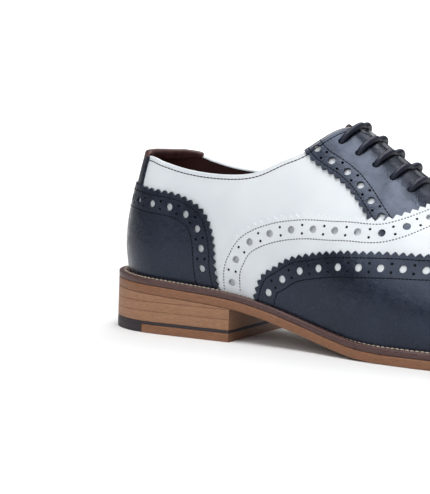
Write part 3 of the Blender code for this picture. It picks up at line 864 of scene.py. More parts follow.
class Stitches:
    """Short rounded stitches of one thread, joined in one mesh."""

    def __init__(self, pitch, share, half_width, height):
        self.pitch = pitch
        self.length = pitch * share
        self.half_width = half_width
        self.height = height
        self.spots = []

    def along(self, points, normals):
        """Sew along a line of points."""
        distance = distances(points)
        count = max(int(distance[-1] / self.pitch), 1)
        middles = (np.arange(count) + 0.5) * distance[-1] / count
        ways = np.concatenate([points, normals, tangents(points)], 1)
        self.spots.append(at_distances(middles, distance, ways))

    def on_chart(self, chart, uv, lift):
        """Sew along a line of chart places."""
        self.along(*place(chart, resample(chart, uv, STITCH_LINE_POINTS), lift))

    def build(self, name, finish, slot):
        """Make the joined mesh."""
        spots = np.concatenate(self.spots)
        centre = spots[:, None, :3]
        normal = unit(spots[:, None, 3:6])
        forward = unit(spots[:, None, 6:9])
        across = np.cross(normal, forward)
        lengthways = np.array([-0.5, -0.42, 0, 0.42, 0.5])
        fullness = np.array([0.25, 0.75, 1.0, 0.75, 0.25])
        turn = np.linspace(0, math.pi, 6)
        x, t = np.meshgrid(lengthways * self.length, turn, indexing="ij")
        full = np.broadcast_to(fullness[:, None], x.shape)
        y = full * np.cos(t) * self.half_width
        z = full * (np.sin(t) * (1 + STITCH_SINK) - STITCH_SINK) * self.height
        local = np.stack([x.ravel(), y.ravel(), z.ravel()], -1)
        points = centre + local[:, 0:1] * forward + local[:, 1:2] * across + local[:, 2:3] * normal
        bulge = (np.cos(t).ravel()[:, None] * across + np.sin(t).ravel()[:, None] * normal
                 + (x.ravel() / self.length)[:, None] * forward)
        sheet = Sheet()
        rows, columns = x.shape
        for stitch, way in zip(points, bulge):
            sheet.add_grid(stitch.reshape(rows, columns, 3), way.reshape(rows, columns, 3))
        return sheet.build(name, finish, slot)


def tube(sheet, path, radius, sides=14):
    """Round tube along a line of points, with the fine lay of a braid."""
    distance = distances(path)
    count = int(distance[-1] / TUBE_STEP) + 2
    even = np.linspace(0, distance[-1], count)
    path = at_distances(even, distance, path)
    forward = tangents(path)
    side = np.zeros_like(path)
    guide = UP if abs(forward[0, 2]) < STEEP else FORWARD
    for k in range(count):
        guide = unit(guide - forward[k] * (guide @ forward[k]))
        side[k] = guide
    up = np.cross(forward, side)
    turn = np.linspace(0, 2 * math.pi, sides, endpoint=False)
    lay = even[:, None] * BRAID_LAY
    braid = np.maximum(np.sin(BRAID_STRANDS * turn + lay), np.sin(BRAID_STRANDS * turn - lay))
    size = radius * (1 + BRAID_RELIEF * braid)[..., None]
    way = np.cos(turn)[None, :, None] * side[:, None] + np.sin(turn)[None, :, None] * up[:, None]
    points = path[:, None] + size * way
    sheet.add_grid(points.transpose(1, 0, 2), way.transpose(1, 0, 2), closed=True)
    for end, out in ((0, -1), (-1, 1)):
        cap = np.concatenate([points[end], path[[end]]])
        sheet.add(cap, np.repeat(out * forward[end][None], sides + 1, 0), fan(sides))


def set_inputs(tree, node, inputs):
    """Give inputs of a node their values, or link them to outputs of other nodes."""
    for name, value in inputs.items():
        if isinstance(value, bpy.types.NodeSocket):
            tree.links.new(value, node.inputs[name])
        else:
            node.inputs[name].default_value = value


def add_node(tree, kind, inputs):
    """New shader node with some of its inputs given."""
    node = tree.nodes.new(f"ShaderNode{kind}")
    set_inputs(tree, node, inputs)
    return node


def new_material(name):
    """Material with a Principled shader, and object coordinates in metres."""
    material = bpy.data.materials.new(name)
    material.use_nodes = True
    tree = material.node_tree
    return material, tree, tree.nodes["Principled BSDF"], add_node(tree, "TexCoord", {}).outputs["Object"]


def noise(tree, vector, scale, detail=3.0, stretch=None):
    """Noise value at a scale, stretched along the axes if asked."""
    if stretch:
        vector = add_node(tree, "Mapping", {"Scale": stretch, "Vector": vector}).outputs["Vector"]
    return add_node(tree, "TexNoise", {"Scale": scale, "Detail": detail, "Vector": vector}).outputs["Fac"]


def ramp(tree, value, *stops):
    """Colours at positions of a value."""
    node = add_node(tree, "ValToRGB", {"Fac": value})
    elements = node.color_ramp.elements
    while len(elements) < len(stops):
        elements.new(0.5)
    for element, (position, colour) in zip(elements, stops):
        element.position = position
        element.color = (*colour, 1.0)
    return node.outputs["Color"]


def spread(tree, value, low, high, start=0.3, end=0.7):
    """Value spread from a range, as a rule the middle of a noise, to another one."""
    ranges = {"From Min": start, "From Max": end, "To Min": low, "To Max": high}
    return add_node(tree, "MapRange", {"Value": value, **ranges}).outputs["Result"]


def bump(tree, height, strength, depth, before=None):
    """Normal of a relief with a depth in metres, on top of another one if given."""
    inputs = {"Height": height, "Strength": strength, "Distance": depth}
    if before:
        inputs["Normal"] = before
    return add_node(tree, "Bump", inputs).outputs["Normal"]


def leather(name, dark, light, roughness, gloss=0.5, tint=(1.0, 1.0, 1.0), grain=0.00008, mottle=28.0):
    """Leather: mottled colour, fine grain under soft wrinkles, and uneven gloss."""
    material, tree, shader, place_in = new_material(name)
    patches = noise(tree, place_in, mottle, detail=4.0)
    pores = bump(tree, noise(tree, place_in, 1300.0, detail=1.0), strength=0.3, depth=grain)
    wrinkles = noise(tree, place_in, 380.0, detail=2.0)
    set_inputs(tree, shader, {
        "Base Color": ramp(tree, patches, (0.32, dark), (0.68, light)),
        "Roughness": spread(tree, noise(tree, place_in, 160.0), *roughness),
        "Specular IOR Level": gloss,
        "Specular Tint": (*tint, 1.0),
        "Normal": bump(tree, wrinkles, strength=0.35, depth=grain * 1.6, before=pores),
    })
    return material


def edge_leather(name, dark, light, roughness):
    """Cut and waxed sole leather: fine fibres that run level round the edge."""
    material, tree, shader, place_in = new_material(name)
    fibres = noise(tree, place_in, 420.0, detail=5.0, stretch=(1.0, 1.0, 7.0))
    ridges = bump(tree, fibres, strength=0.35, depth=0.00012)
    grain = noise(tree, place_in, 900.0, detail=2.0)
    set_inputs(tree, shader, {
        "Base Color": ramp(tree, fibres, (0.30, dark), (0.62, light)),
        "Roughness": spread(tree, noise(tree, place_in, 90.0), *roughness),
        "Normal": bump(tree, grain, strength=0.25, depth=0.00006, before=ridges),
    })
    return material


def plain_finish(name, dark, light, roughness, scale, relief, gloss=0.5):
    """Thread, lace or rubber: a colour that varies a little, with fine relief."""
    material, tree, shader, place_in = new_material(name)
    grain = noise(tree, place_in, scale)
    set_inputs(tree, shader, {
        "Base Color": ramp(tree, grain, (0.3, dark), (0.7, light)),
        "Roughness": spread(tree, grain, *roughness),
        "Specular IOR Level": gloss,
        "Normal": bump(tree, grain, strength=0.4, depth=relief),
    })
    return material


# Finishes: darkest and lightest colour, range of roughness, and what else sets each apart
NAVY = leather(
    "navy_calf", (0.0026, 0.0035, 0.0078), (0.0102, 0.0130, 0.0238), (0.19, 0.37),
    gloss=0.46, tint=(0.66, 0.77, 1.0), grain=0.0002,
)
# Lighter navy for the folded throat edge: a burnished edge together with a painted highlight along it
NAVY_EDGE_AND_HIGHLIGHT = leather("navy_burnished_edge_and_highlight", (0.030, 0.034, 0.046), (0.10, 0.105, 0.125), (0.30, 0.42))
WHITE = leather(
    "white_calf", (0.52, 0.552, 0.58), (0.59, 0.618, 0.64), (0.42, 0.55), gloss=0.4, grain=0.00006,
)
BROWN = leather("brown_lining", (0.014, 0.0035, 0.0032), (0.034, 0.010, 0.009), (0.45, 0.60), gloss=0.25)
TAB_BROWN = leather("brown_tab", (0.028, 0.009, 0.009), (0.075, 0.026, 0.025), (0.38, 0.50), mottle=160.0)
INSOLE = leather("insole_board", (0.30, 0.18, 0.10), (0.42, 0.27, 0.16), (0.55, 0.70))
WELT = edge_leather("welt_edge", (0.030, 0.012, 0.011), (0.075, 0.032, 0.028), (0.35, 0.50))
SOLE_EDGE = edge_leather("sole_edge", (0.135, 0.054, 0.0225), (0.21, 0.089, 0.039), (0.40, 0.55))
STACK = edge_leather("stacked_lift", (0.19, 0.088, 0.043), (0.285, 0.143, 0.074), (0.50, 0.65))
RUBBER = plain_finish(
    "heel_rubber", (0.010, 0.006, 0.0085), (0.021, 0.013, 0.0175), (0.55, 0.70),
    scale=700.0, relief=0.00006,
)
LACE = plain_finish(
    "waxed_lace", (0.005, 0.0065, 0.015), (0.012, 0.0155, 0.031), (0.40, 0.55),
    scale=1400.0, relief=0.0001, gloss=0.3,
)
DARK_THREAD = plain_finish(
    "dark_thread", (0.0015, 0.002, 0.004), (0.004, 0.005, 0.009), (0.6, 0.8),
    scale=2000.0, relief=0.00005, gloss=0.1,
)
# Dark grey dashes on the white band: the stitches together with the painted shade of their needle holes
GREY_THREAD_AND_HOLE_SHADE = plain_finish(
    "grey_thread_and_needle_hole_shade", (0.020, 0.019, 0.020), (0.055, 0.052, 0.053), (0.6, 0.8), scale=2000.0, relief=0.00005,
)
CREAM_THREAD = plain_finish(
    "cream_thread", (0.27, 0.22, 0.17), (0.46, 0.39, 0.31), (0.6, 0.8), scale=2000.0, relief=0.00006,
)
# Near-black discs in the small holes: painted shade for the dark depth of the pinholes
PINHOLE_SHADE = plain_finish(
    "pinhole_painted_shade", (0.006, 0.006, 0.007), (0.014, 0.013, 0.014), (0.7, 0.9),
    scale=900.0, relief=0.00004, gloss=0.1,
)
# Grey discs in the big holes over white leather: painted shade inside those holes
HOLE_SHADE = plain_finish(
    "hole_painted_shade", (0.36, 0.37, 0.39), (0.50, 0.51, 0.53), (0.6, 0.8), scale=900.0, relief=0.00004,
)

# Threads by their stitches, and the discs of painted shade in the holes, filled as the panels are made
dark_stitches = Stitches(pitch=2.0, share=0.94, half_width=0.36, height=0.2)
collar_stitches = Stitches(pitch=2.0, share=0.95, half_width=0.3, height=0.2)
grey_stitches = Stitches(pitch=1.6, share=0.6, half_width=0.36, height=0.14)
cream_stitches = Stitches(pitch=2.6, share=0.8, half_width=0.42, height=0.5)
pinhole_shade_discs = Sheet()
hole_shade_discs = Sheet()


def other_side(uv):
    """Places of the over-ridge chart on the other side."""
    return uv * (1, -1) + (0, 2)


def mirrored(uv):
    """Line of the over-ridge chart on the other side, kept running the same way round."""
    return other_side(uv)[::-1]


def both_sides(half):
    """Line from the inner side's welt over the ridge to the outer side's welt, from its outer half."""
    return np.concatenate([other_side(half)[:-1], half[::-1]])


def mirrored_holes(holes):
    """Holes of the over-ridge chart on the other side."""
    return [(u, 2 - v, radius) for u, v, radius in holes]


def sew_both_sides(stitches, row, lift):
    """Sew along a line of the over-ridge chart and along its mirror image."""
    for line in (row, mirrored(row)):
        stitches.on_chart(over_ridge_chart, line, lift)


def sew_beside_edge(stitches, line, lift):
    """Sew two rows inside a gimped edge that runs over the ridge, on both sides of it."""
    for inset in (OUTER_STITCH, INNER_STITCH):
        row = offset_line(over_ridge_chart, line[::-1], inset)
        sew_both_sides(stitches, row[row[:, 1] < 1], lift)


def of_radius(holes, radius):
    """Holes of one size."""
    return [hole for hole in holes if hole[2] == radius]


def paint_hole_shade(sheet, chart, holes, lift):
    """Add a disc under each of some holes, whose finish paints the shade seen down the hole."""
    loops = hole_loops(chart, holes, FLOOR_POINTS)
    spots = np.concatenate([loops, np.array(holes)[:, None, :2]], 1)
    for floor, normals in zip(*place(chart, spots, lift)):
        sheet.add(floor, normals, fan(FLOOR_POINTS))


def along_at(x):
    """Distance along the side at which the sole's edge passes an x behind the toe's rounding."""
    if x < HEEL_ARC:
        return ALONG_HEEL * math.acos(1 - x / HEEL_ARC) / (math.pi / 2)
    return ALONG_HEEL + x - HEEL_ARC


def make_counter():
    """Navy counter round the heel, gimped along its top, with two rows of stitches and a row of holes."""
    chart = round_heel_chart
    half = np.array(COUNTER_LINE)
    line = smooth_path(np.concatenate([half, (half * (-1, 1))[-2::-1]]))
    teeth = gimp(chart, line)
    foot = np.linspace(line[-1], line[0], 160)
    row = offset_line(chart, line, HOLE_LINE)
    holes = hole_rows(chart, row[row[:, 0] > 0], COUNTER_HOLES)
    holes += [(-u, v, radius) for u, v, radius in holes if u > HOLE_RADIUS]
    sheet = cut_panel(chart, np.concatenate([teeth, foot[1:-1]]), holes, COUNTER_LIFT)
    sheet.build("counter_panel", NAVY, "navy_leather", "counter")
    paint_hole_shade(pinhole_shade_discs, chart, of_radius(holes, PINHOLE_RADIUS), FLOOR_LIFT)
    for inset in (OUTER_STITCH, INNER_STITCH):
        dark_stitches.on_chart(chart, offset_line(chart, line, inset), COUNTER_LIFT)


def cut_band(line, front_edge, foot_points, layout, holes_end, lift, foot=0.0):
    """Panel that lies over the ridge, gimped and punched along a line behind, and its holes."""
    chart = over_ridge_chart
    lower = np.linspace((line[0, 0], FOOT_RISE), (front_edge[0, 0], FOOT_RISE), foot_points)
    gimped = gimp(chart, both_sides(line))
    outline = np.concatenate([gimped, lower[1:-1], front_edge, mirrored(lower)[1:-1]])
    row = offset_line(chart, line[::-1], HOLE_LINE)[::-1]
    holes = hole_rows(chart, row[row[:, 1] < holes_end], layout)
    holes += mirrored_holes(holes)
    return cut_panel(chart, outline, holes, lift, foot), holes


def make_vamp():
    """White vamp band, gimped behind, running under the wing in front."""
    chart = over_ridge_chart
    line = smooth_path(VAMP_LINE)
    front = offset_line(chart, smooth_path(WING_LINE)[::-1], UNDERLAP)[::-1]
    front = front[front[:, 1] < 1]
    front = np.concatenate([front, [(front[-1, 0], 1.0)]])
    sheet, holes = cut_band(line, both_sides(front)[::-1], 16, VAMP_HOLES, VAMP_HOLES_END, VAMP_LIFT)
    sheet.build("vamp_band", WHITE, "white_leather", "vamp")
    paint_hole_shade(pinhole_shade_discs, chart, of_radius(holes, PINHOLE_RADIUS), FACING_LIFT + VAMP_FLOOR_LIFT)
    # Grey discs of painted shade in the big holes that lie over white
    on_white = [hole for hole in of_radius(holes, HOLE_RADIUS) if hole[0] < FACING_UNDER_VAMP]
    paint_hole_shade(hole_shade_discs, chart, on_white, WHITE_FLOOR_LIFT)
    sew_beside_edge(grey_stitches, line, VAMP_LIFT)


def dome_start(v):
    """Along at which the wing's plain toe begins, at each v of the over-ridge chart."""
    return ALONG_TOE + np.minimum(DOME_SLOPE * np.abs(1 - v), DOME_REACH)


def make_wing():
    """Navy wingtip: gimped and punched behind, plain and domed over the toe."""
    chart = over_ridge_chart
    line = smooth_path(WING_LINE)
    v = np.concatenate([np.linspace(FOOT_RISE, DOME_CLOSE, 44), np.linspace(DOME_CLOSE, 1, 14)[1:]])
    v = np.concatenate([v, 2 - v[-2::-1]])
    seam = np.stack([dome_start(v), v], -1)
    sheet, holes = cut_band(line, seam, 90, WING_HOLES, WING_HOLES_END, WING_LIFT, VAMP_LIFT - OVERLAP)
    share = np.linspace(0, 1, DOME_ROWS)[:, None]
    forward = seam[:, 0] * (1 - share) + ALONG_TIP * share
    dome = np.stack([forward, np.broadcast_to(v, forward.shape)], -1)
    sheet.add_grid(*place(chart, dome, WING_LIFT))
    sheet.build("wing_tip", NAVY, "navy_leather", "wing")
    paint_hole_shade(pinhole_shade_discs, chart, of_radius(holes, PINHOLE_RADIUS), VAMP_LIFT + FLOOR_LIFT)
    sew_beside_edge(dark_stitches, line, WING_LIFT)


def top_line(start, end, count, inset):
    """Line just under the upper's top edge, from high along to low, in the over-ridge chart."""
    along = np.linspace(end, start, count)
    return offset_line(over_ridge_chart, np.stack([along, top_rise(along)], -1), inset)


def make_facings():
    """Navy facings with the eyelets, gimped behind and running under the vamp band in front."""
    chart = over_ridge_chart
    line = smooth_path(FACING_LINE)
    top = top_line(FACING_START, THROAT_END + FACING_PAST_THROAT, 120, FACING_INSET)
    hidden = np.linspace(line[-1], top[0], 12)
    outline = np.concatenate([gimp(chart, line), hidden[1:-1], top])
    row = offset_line(chart, line, FACING_HOLE_LINE)
    holes = hole_rows(chart, row[row[:, 0] < FACING_HOLES_END], FACING_HOLES)
    holes += [(*eyelet(row), LACE_RADIUS + EYELET_CLEARANCE) for row in range(EYELET_ROWS)]
    for side in ("lateral", "medial"):
        sheet = cut_panel(chart, outline, holes, FACING_LIFT, spacing=FINE_SPACING)
        sheet.build(f"facing_panel_{side}", NAVY, "navy_leather", f"facing_{side}")
        paint_hole_shade(pinhole_shade_discs, chart, of_radius(holes, PINHOLE_RADIUS), FLOOR_LIFT)
        outline = mirrored(outline)
        holes = mirrored_holes(holes)
    rows = [offset_line(chart, line, inset) for inset in FACING_STITCHES]
    rows.append(offset_line(chart, top, THROAT_STITCH))
    for row in rows:
        sew_both_sides(dark_stitches, row[row[:, 0] < FACING_STITCH_END], FACING_LIFT)


def roll_edge(chart, uv, outer, inner):
    """Folded edge that rolls from the outside of the upper to its inside; the panel is on the left."""
    points, normal = place(chart, uv)
    up = -unit(np.cross(normal, tangents(points)))
    radius = (outer - inner) / 2
    middle = points + normal * (outer + inner) / 2
    turn = np.linspace(0, math.pi, FOLD_POINTS)[:, None, None]
    way = np.cos(turn) * normal + np.sin(turn) * up
    return middle + radius * way, way


def make_quarters():
    """White quarters behind and under the panels, with the folded collar and the navy throat edge."""
    chart = round_heel_chart
    side = np.linspace(HEEL_GRID_END, THROAT_END, 90)[1:]
    heel = np.linspace(-HEEL_GRID_END, HEEL_GRID_END, 91)
    around, share = np.meshgrid(np.concatenate([-side[::-1], heel, side]), np.linspace(0, 1, 44))
    sheet = Sheet()
    sheet.add_grid(*place(chart, np.stack([around, top_rise(np.abs(around)) * share * QUARTER_TOP], -1)))
    collar_end = FACING_START + COLLAR_OVERLAP
    along = np.linspace(collar_end, -collar_end, 220)
    collar = offset_line(chart, np.stack([along, collar_rise(np.abs(along))], -1), FOLD_INSET)
    sheet.add_grid(*roll_edge(chart, collar, FOLD_LIFT, -UPPER_WALL))
    sheet.build("quarters", WHITE, "white_leather", "upper")
    collar_stitches.on_chart(chart, offset_line(chart, collar, COLLAR_STITCH), COLLAR_STITCH_LIFT)

    edge = top_line(FACING_START, THROAT_END + FOLD_PAST_THROAT, 140, FOLD_INSET)
    sheet = Sheet()
    for line in (edge, mirrored(edge)):
        sheet.add_grid(*roll_edge(over_ridge_chart, line, FACING_LIFT + FOLD_LIFT, -UPPER_WALL))
    # The throat edge's lighter finish carries a painted highlight as well as its burnish
    sheet.build("throat_edge", NAVY_EDGE_AND_HIGHLIGHT, "navy_leather")


def make_lining():
    """Brown lining inside the upper."""
    around, share = np.meshgrid(np.linspace(-THROAT_END, THROAT_END, 220), np.linspace(0, 1, 30))
    rear = np.stack([around, (top_rise(np.abs(around)) - LINING_DROP) * share], -1)
    front = np.stack(np.meshgrid(np.linspace(THROAT_END, ALONG_TIP, 60), np.linspace(0, 2, 81)), -1)
    sheet = Sheet()
    for chart, uv in ((round_heel_chart, rear), (over_ridge_chart, front)):
        points, normals = place(chart, uv, -UPPER_WALL - LINING_GAP)
        sheet.add_grid(points, -normals)
    sheet.build("lining", BROWN, "brown_leather")


def make_back():
    """Navy back strap and the brown tab folded over the back of the collar."""
    chart = round_heel_chart
    side = smooth_path(STRAP_EDGE)
    far_side = side * (-1, 1)
    top = np.linspace(side[-1], far_side[-1], 40)
    foot = np.linspace(far_side[0], side[0], 40)
    outline = np.concatenate([side, top[1:-1], far_side[::-1], foot[1:-1]])
    sheet = cut_panel(chart, outline, [], STRAP_LIFT, spacing=FINE_SPACING)
    sheet.build("back_strip", NAVY, "navy_leather", "back_strap")
    for way in (1, -1):
        dark_stitches.on_chart(chart, (side - (STRAP_STITCH, 0)) * (way, 1), STRAP_LIFT)

    u = np.linspace(TAB["u"][0], TAB["u"][-1], 150)
    stand, drop, proud = (np.interp(-u, -TAB["u"], TAB[column]) for column in ("stand", "drop", "proud"))
    edge = np.stack([u, collar_rise(np.abs(u))], -1)
    points, normal = place(chart, edge)
    up = -unit(np.cross(normal, tangents(points)))
    radius = UPPER_WALL / 2 + proud
    turn = np.linspace(0, math.pi, FOLD_POINTS)
    # Section of the tab from its outer hem over the collar to its inner hem, as (out, up)
    section = [(0 * u, -drop - 0.3), (0.7 * proud, -drop - 0.2), (proud, -drop), (proud, 0 * u)]
    for t in turn:
        section.append((radius * math.cos(t) - UPPER_WALL / 2, stand - radius + radius * math.sin(t)))
    section.append((-UPPER_WALL - proud, 0 * u))
    section.append((-UPPER_WALL - proud * 0.6, -TAB_INSIDE * np.minimum(proud, 1)))
    grid = np.stack([points + out[:, None] * normal + rise[:, None] * up for out, rise in section])
    facing = unit(np.cross(np.gradient(grid, axis=1), np.gradient(grid, axis=0)))
    sheet = Sheet()
    outer_face = facing[3]
    sheet.add_grid(grid, facing if (outer_face * normal).sum() > 0 else -facing)
    sheet.build("collar_tab", TAB_BROWN, "brown_leather", "heel_tab")


def make_tongue():
    """Brown tongue under the throat, with a rounded free edge at its top."""
    along = np.linspace(TONGUE_EDGE["along"][0], TONGUE_EDGE["along"][-1], 60)[None, :]
    across = np.linspace(1, -1, 61)[:, None]
    reach = 1 - tongue_rise(along)
    v = 1 - across * reach
    uv = np.stack([np.broadcast_to(along, v.shape), v], -1)
    depth = -(UPPER_WALL + TONGUE_GAP + TONGUE_SAG * np.broadcast_to(across, v.shape) ** 2)
    upper_face, normals = place(over_ridge_chart, uv, depth)
    lower_face, _ = place(over_ridge_chart, uv, depth - TONGUE_THICK)
    sheet = Sheet()
    sheet.add_grid(upper_face, normals)
    sheet.add_grid(lower_face, -normals)
    turn = np.linspace(0, math.pi, 9)[:, None, None]
    back = unit(upper_face[:, 0] - upper_face[:, 1])
    middle = (upper_face[:, 0] + lower_face[:, 0]) / 2
    way = np.cos(turn) * normals[:, 0] + np.sin(turn) * back
    sheet.add_grid(middle + TONGUE_THICK / 2 * way, way)
    for edge, inner in ((0, 1), (-1, -2)):
        rim = np.stack([upper_face[edge], lower_face[edge]])
        out = unit(upper_face[edge] - upper_face[inner])
        sheet.add_grid(rim, np.stack([out, out]))
    sheet.build("tongue_leather", BROWN, "brown_leather", "tongue")


def eyelet(row):
    """Along and rise of a row's eyelets."""
    return FIRST_EYELET_ALONG + EYELET_PITCH * row, np.interp(row, (0, EYELET_ROWS - 1), EYELET_RISE)


def curve_through(knots, per_span=12):
    """Smooth dense line through points in space."""
    distance = distances(knots)
    dense = np.linspace(0, distance[-1], per_span * len(knots))
    return np.stack([natural_curve(distance, knots[:, k])(dense) for k in range(3)], -1)


def make_lace():
    """One waxed lace: bars over the facings through the eyelets, joined by hidden runs under them."""
    chart = over_ridge_chart
    rest = FACING_LIFT + LACE_RADIUS + LACE_CLEARANCE
    under = -(UPPER_WALL + LACE_RADIUS + LACE_UNDER)
    throat_way = unit(base(chart, THROAT_END, 1.0) - base(chart, THROAT_START, 1.0))

    def climb(row):
        """Places and lifts from under an eyelet up the facing, in a plane square to the throat."""
        along, rise = eyelet(row)
        rises = np.array([rise - 0.012, rise, rise + 0.03, rise + 0.09, 0.86, 0.92, 0.975])
        lifts = np.array([under, -0.4, rest * 0.8, rest, rest - 0.3, rest - 0.9, rest - 1.8])
        forward = np.full(len(rises), along)
        for _ in range(SQUARE_STEPS):
            points = place(chart, np.stack([forward, rises], -1), rest)[0]
            forward = forward - throat_way[0] * ((points - points[1]) @ throat_way)
        forward[:2] = along
        return forward, rises, lifts

    def bar(row, side):
        """Points of a row's bar from one side over to the other."""
        forward, rises, lifts = climb(row)
        near = place(chart, np.stack([forward, rises], -1), lifts)[0]
        far = place(chart, np.stack([forward, 2 - rises], -1), lifts)[0]
        points = np.concatenate([near, far[::-1]])
        return points if side == LATERAL else points[::-1]

    def hidden(start, end, side, shift):
        """Points of a run under a facing from one row to another."""
        share = np.array([0.25, 0.5, 0.75])
        (from_along, from_rise), (to_along, to_rise) = eyelet(start), eyelet(end)
        along = from_along + (to_along - from_along) * share
        rise = from_rise + (to_rise - from_rise) * share + shift
        return place(chart, np.stack([along, rise if side == LATERAL else 2 - rise], -1), under)[0]

    path = np.concatenate([
        bar(0, LATERAL), hidden(0, 2, MEDIAL, 0.035),
        bar(2, MEDIAL), hidden(2, 4, LATERAL, 0.035),
        bar(4, LATERAL), hidden(4, 3, MEDIAL, -0.02),
        bar(3, MEDIAL), hidden(3, 1, LATERAL, -0.035),
        bar(1, LATERAL), hidden(1, 0, MEDIAL, -0.035),
    ])
    sheet = Sheet()
    tube(sheet, curve_through(path), LACE_RADIUS)
    sheet.build("lace", LACE, "waxed_lace", *[f"lace_bar_{row + 1}" for row in range(EYELET_ROWS)])


def loft(name, sections, finish, slot, *nodes, capped=False):
    """Solid through closed sections of equal length, welded and smoothed."""
    mesh = bmesh.new()
    rows = [[mesh.verts.new(Vector((point - ORIGIN) * MM)) for point in section] for section in sections]
    for before, after in zip(rows, rows[1:]):
        for k in range(len(before)):
            following = (k + 1) % len(before)
            mesh.faces.new((before[k], before[following], after[following], after[k]))
    if capped:
        mesh.faces.new(rows[-1])
    bmesh.ops.remove_doubles(mesh, verts=mesh.verts, dist=LOFT_WELD * MM)
    bmesh.ops.dissolve_degenerate(mesh, edges=mesh.edges, dist=LOFT_SLIVER * MM)
    bmesh.ops.recalc_face_normals(mesh, faces=mesh.faces)
    data = bpy.data.meshes.new(name)
    mesh.to_mesh(data)
    mesh.free()
    data.shade_smooth()
    data.set_sharp_from_angle(angle=SHARP_ANGLE)
    return add_piece(name, data, finish, slot, *nodes)


def rounded(bottom, top, radius):
    """Rounded edge profile from the top of a layer to its bottom, as (inset, height)."""
    turn = np.linspace(0, math.pi / 2, 5)
    upper = [(radius * (1 - math.sin(t)), top - radius * (1 - math.cos(t))) for t in turn]
    lower = [(inset, bottom + top - height) for inset, height in upper[::-1]]
    return upper + lower


def plate_sections(stations, profile, across=9, floor=tread, extra_inset=None):
    """Closed sections of a plate under the foot, from its edge profile."""
    sections = []
    for along in stations:
        inset_here = 0.0 if extra_inset is None else float(extra_inset(station(along)[0]))
        edges = {}
        for side in (LATERAL, MEDIAL):
            line = []
            for inset, height in profile:
                x, y = sole_edge(along, side, inset + inset_here)
                level = height(x) if callable(height) else floor(x) + height
                line.append((float(x), float(y), float(level)))
            edges[side] = np.array(line)
        share = np.linspace(0, 1, across)[1:-1, None]
        bottom = edges[LATERAL][-1] * (1 - share) + edges[MEDIAL][-1] * share
        top = edges[MEDIAL][0] * (1 - share) + edges[LATERAL][0] * share
        sections.append(np.concatenate([edges[LATERAL], bottom, edges[MEDIAL][::-1], top]))
    return sections


def sole_stations(end=ALONG_TIP):
    """Distances along the side, close together round heel and toe."""
    whole = np.concatenate([
        np.linspace(0, ALONG_HEEL, 30)[:-1],
        np.linspace(ALONG_HEEL, ALONG_TOE, 90)[:-1],
        np.linspace(ALONG_TOE, ALONG_TIP, 60),
    ])
    return np.concatenate([whole[whole < end - NEAREST_STATION], [end]])


def make_sole():
    """Outsole and welt with rounded edges, the welt's stitches and the insole."""
    stations = sole_stations()
    outsole = rounded(0.0, OUTSOLE_THICK, OUTSOLE_ROUNDING)
    loft("outsole_leather", plate_sections(stations, outsole), SOLE_EDGE, "sole_leather", "outsole")
    top = OUTSOLE_THICK + GAP + WELT_THICK
    welt = rounded(OUTSOLE_THICK + WELT_SEAM, top, WELT_ROUNDING)
    loft("welt_strip", plate_sections(stations, welt), WELT, "welt_leather", "welt")
    insole = rounded(top + GAP, top + GAP + INSOLE_THICK, INSOLE_ROUNDING)
    insole_sections = plate_sections(stations, insole, extra_inset=insole_inset)
    loft("insole_sock", insole_sections, INSOLE, "insole_leather", "insole")
    fine = np.linspace(0, ALONG_TIP, 900)
    for side in (LATERAL, MEDIAL):
        x, y = sole_edge(fine, side, WELT_STITCH)
        points = np.stack([x, y, tread(x) + top], -1)
        cream_stitches.along(points, np.repeat(UP[None], len(points), 0))


def make_heel():
    """Stacked heel: two level lifts, the wedge under the heel seat and the rubber and leather top piece."""
    breast = along_at(HEEL_LENGTH)
    stations = sole_stations(breast)
    layer_bottom = TOP_PIECE_TOP - RUBBER_LAYER
    flat = np.zeros_like

    def layer(name, where, bottom, top, finish, slot, *nodes):
        sections = plate_sections(where, rounded(bottom, top, LIFT_ROUNDING), floor=flat)
        loft(name, sections, finish, slot, *nodes, capped=True)

    lifts = (
        ("lower", TOP_PIECE_TOP, LOWER_LIFT_TOP),
        ("middle", LOWER_LIFT_TOP, MIDDLE_LIFT_TOP),
    )
    for name, bottom, top in lifts:
        node = f"heel_lift_{name}"
        layer(f"lift_{name}", stations, bottom + LIFT_SEAM, top, STACK, "stacked_leather", node)
    # Edge of the wedge as (inset, height): level below, and parallel to the heel seat above
    wedge = [
        (0.3, lambda x: tread(x) - 0.1),
        (0.0, lambda x: tread(x) - 0.4),
        (0.0, lambda x: MIDDLE_LIFT_TOP + 0.25),
        (0.2, lambda x: MIDDLE_LIFT_TOP + 0.1),
    ]
    wedge_sections = plate_sections(stations, wedge)
    loft("lift_upper", wedge_sections, STACK, "stacked_leather", "heel_lift_upper", capped=True)
    layer("rubber_layer", stations, layer_bottom, TOP_PIECE_TOP, RUBBER, "rubber", "heel_rubber")
    corner = along_at(RUBBER_CORNER_LENGTH)
    layer("rubber_corner", sole_stations(corner), 0.0, layer_bottom + CORNER_OVERLAP, RUBBER, "rubber")
    front = np.concatenate([[corner + CORNER_SEAM], stations[stations > corner + NEAREST_STATION]])
    front_top = layer_bottom - LIFT_SEAM
    layer("top_piece_leather", front, 0.0, front_top, SOLE_EDGE, "sole_leather", "heel_leather")


def stage_sheet(name, corners):
    """Flat sheet of the studio."""
    mesh = bpy.data.meshes.new(name)
    mesh.from_pydata(corners, [], [(0, 1, 2, 3)])
    finish, tree, shader, place_in = new_material(name)
    set_inputs(tree, shader, {
        "Base Color": (STAGE_TONE, STAGE_TONE, STAGE_TONE, 1.0),
        "Roughness": STAGE_ROUGHNESS,
        "Emission Color": (1.0, 1.0, 1.0, 1.0),
    })
    mesh.materials.append(finish)
    sheet = add_object(name, mesh)
    return sheet, tree, shader, place_in


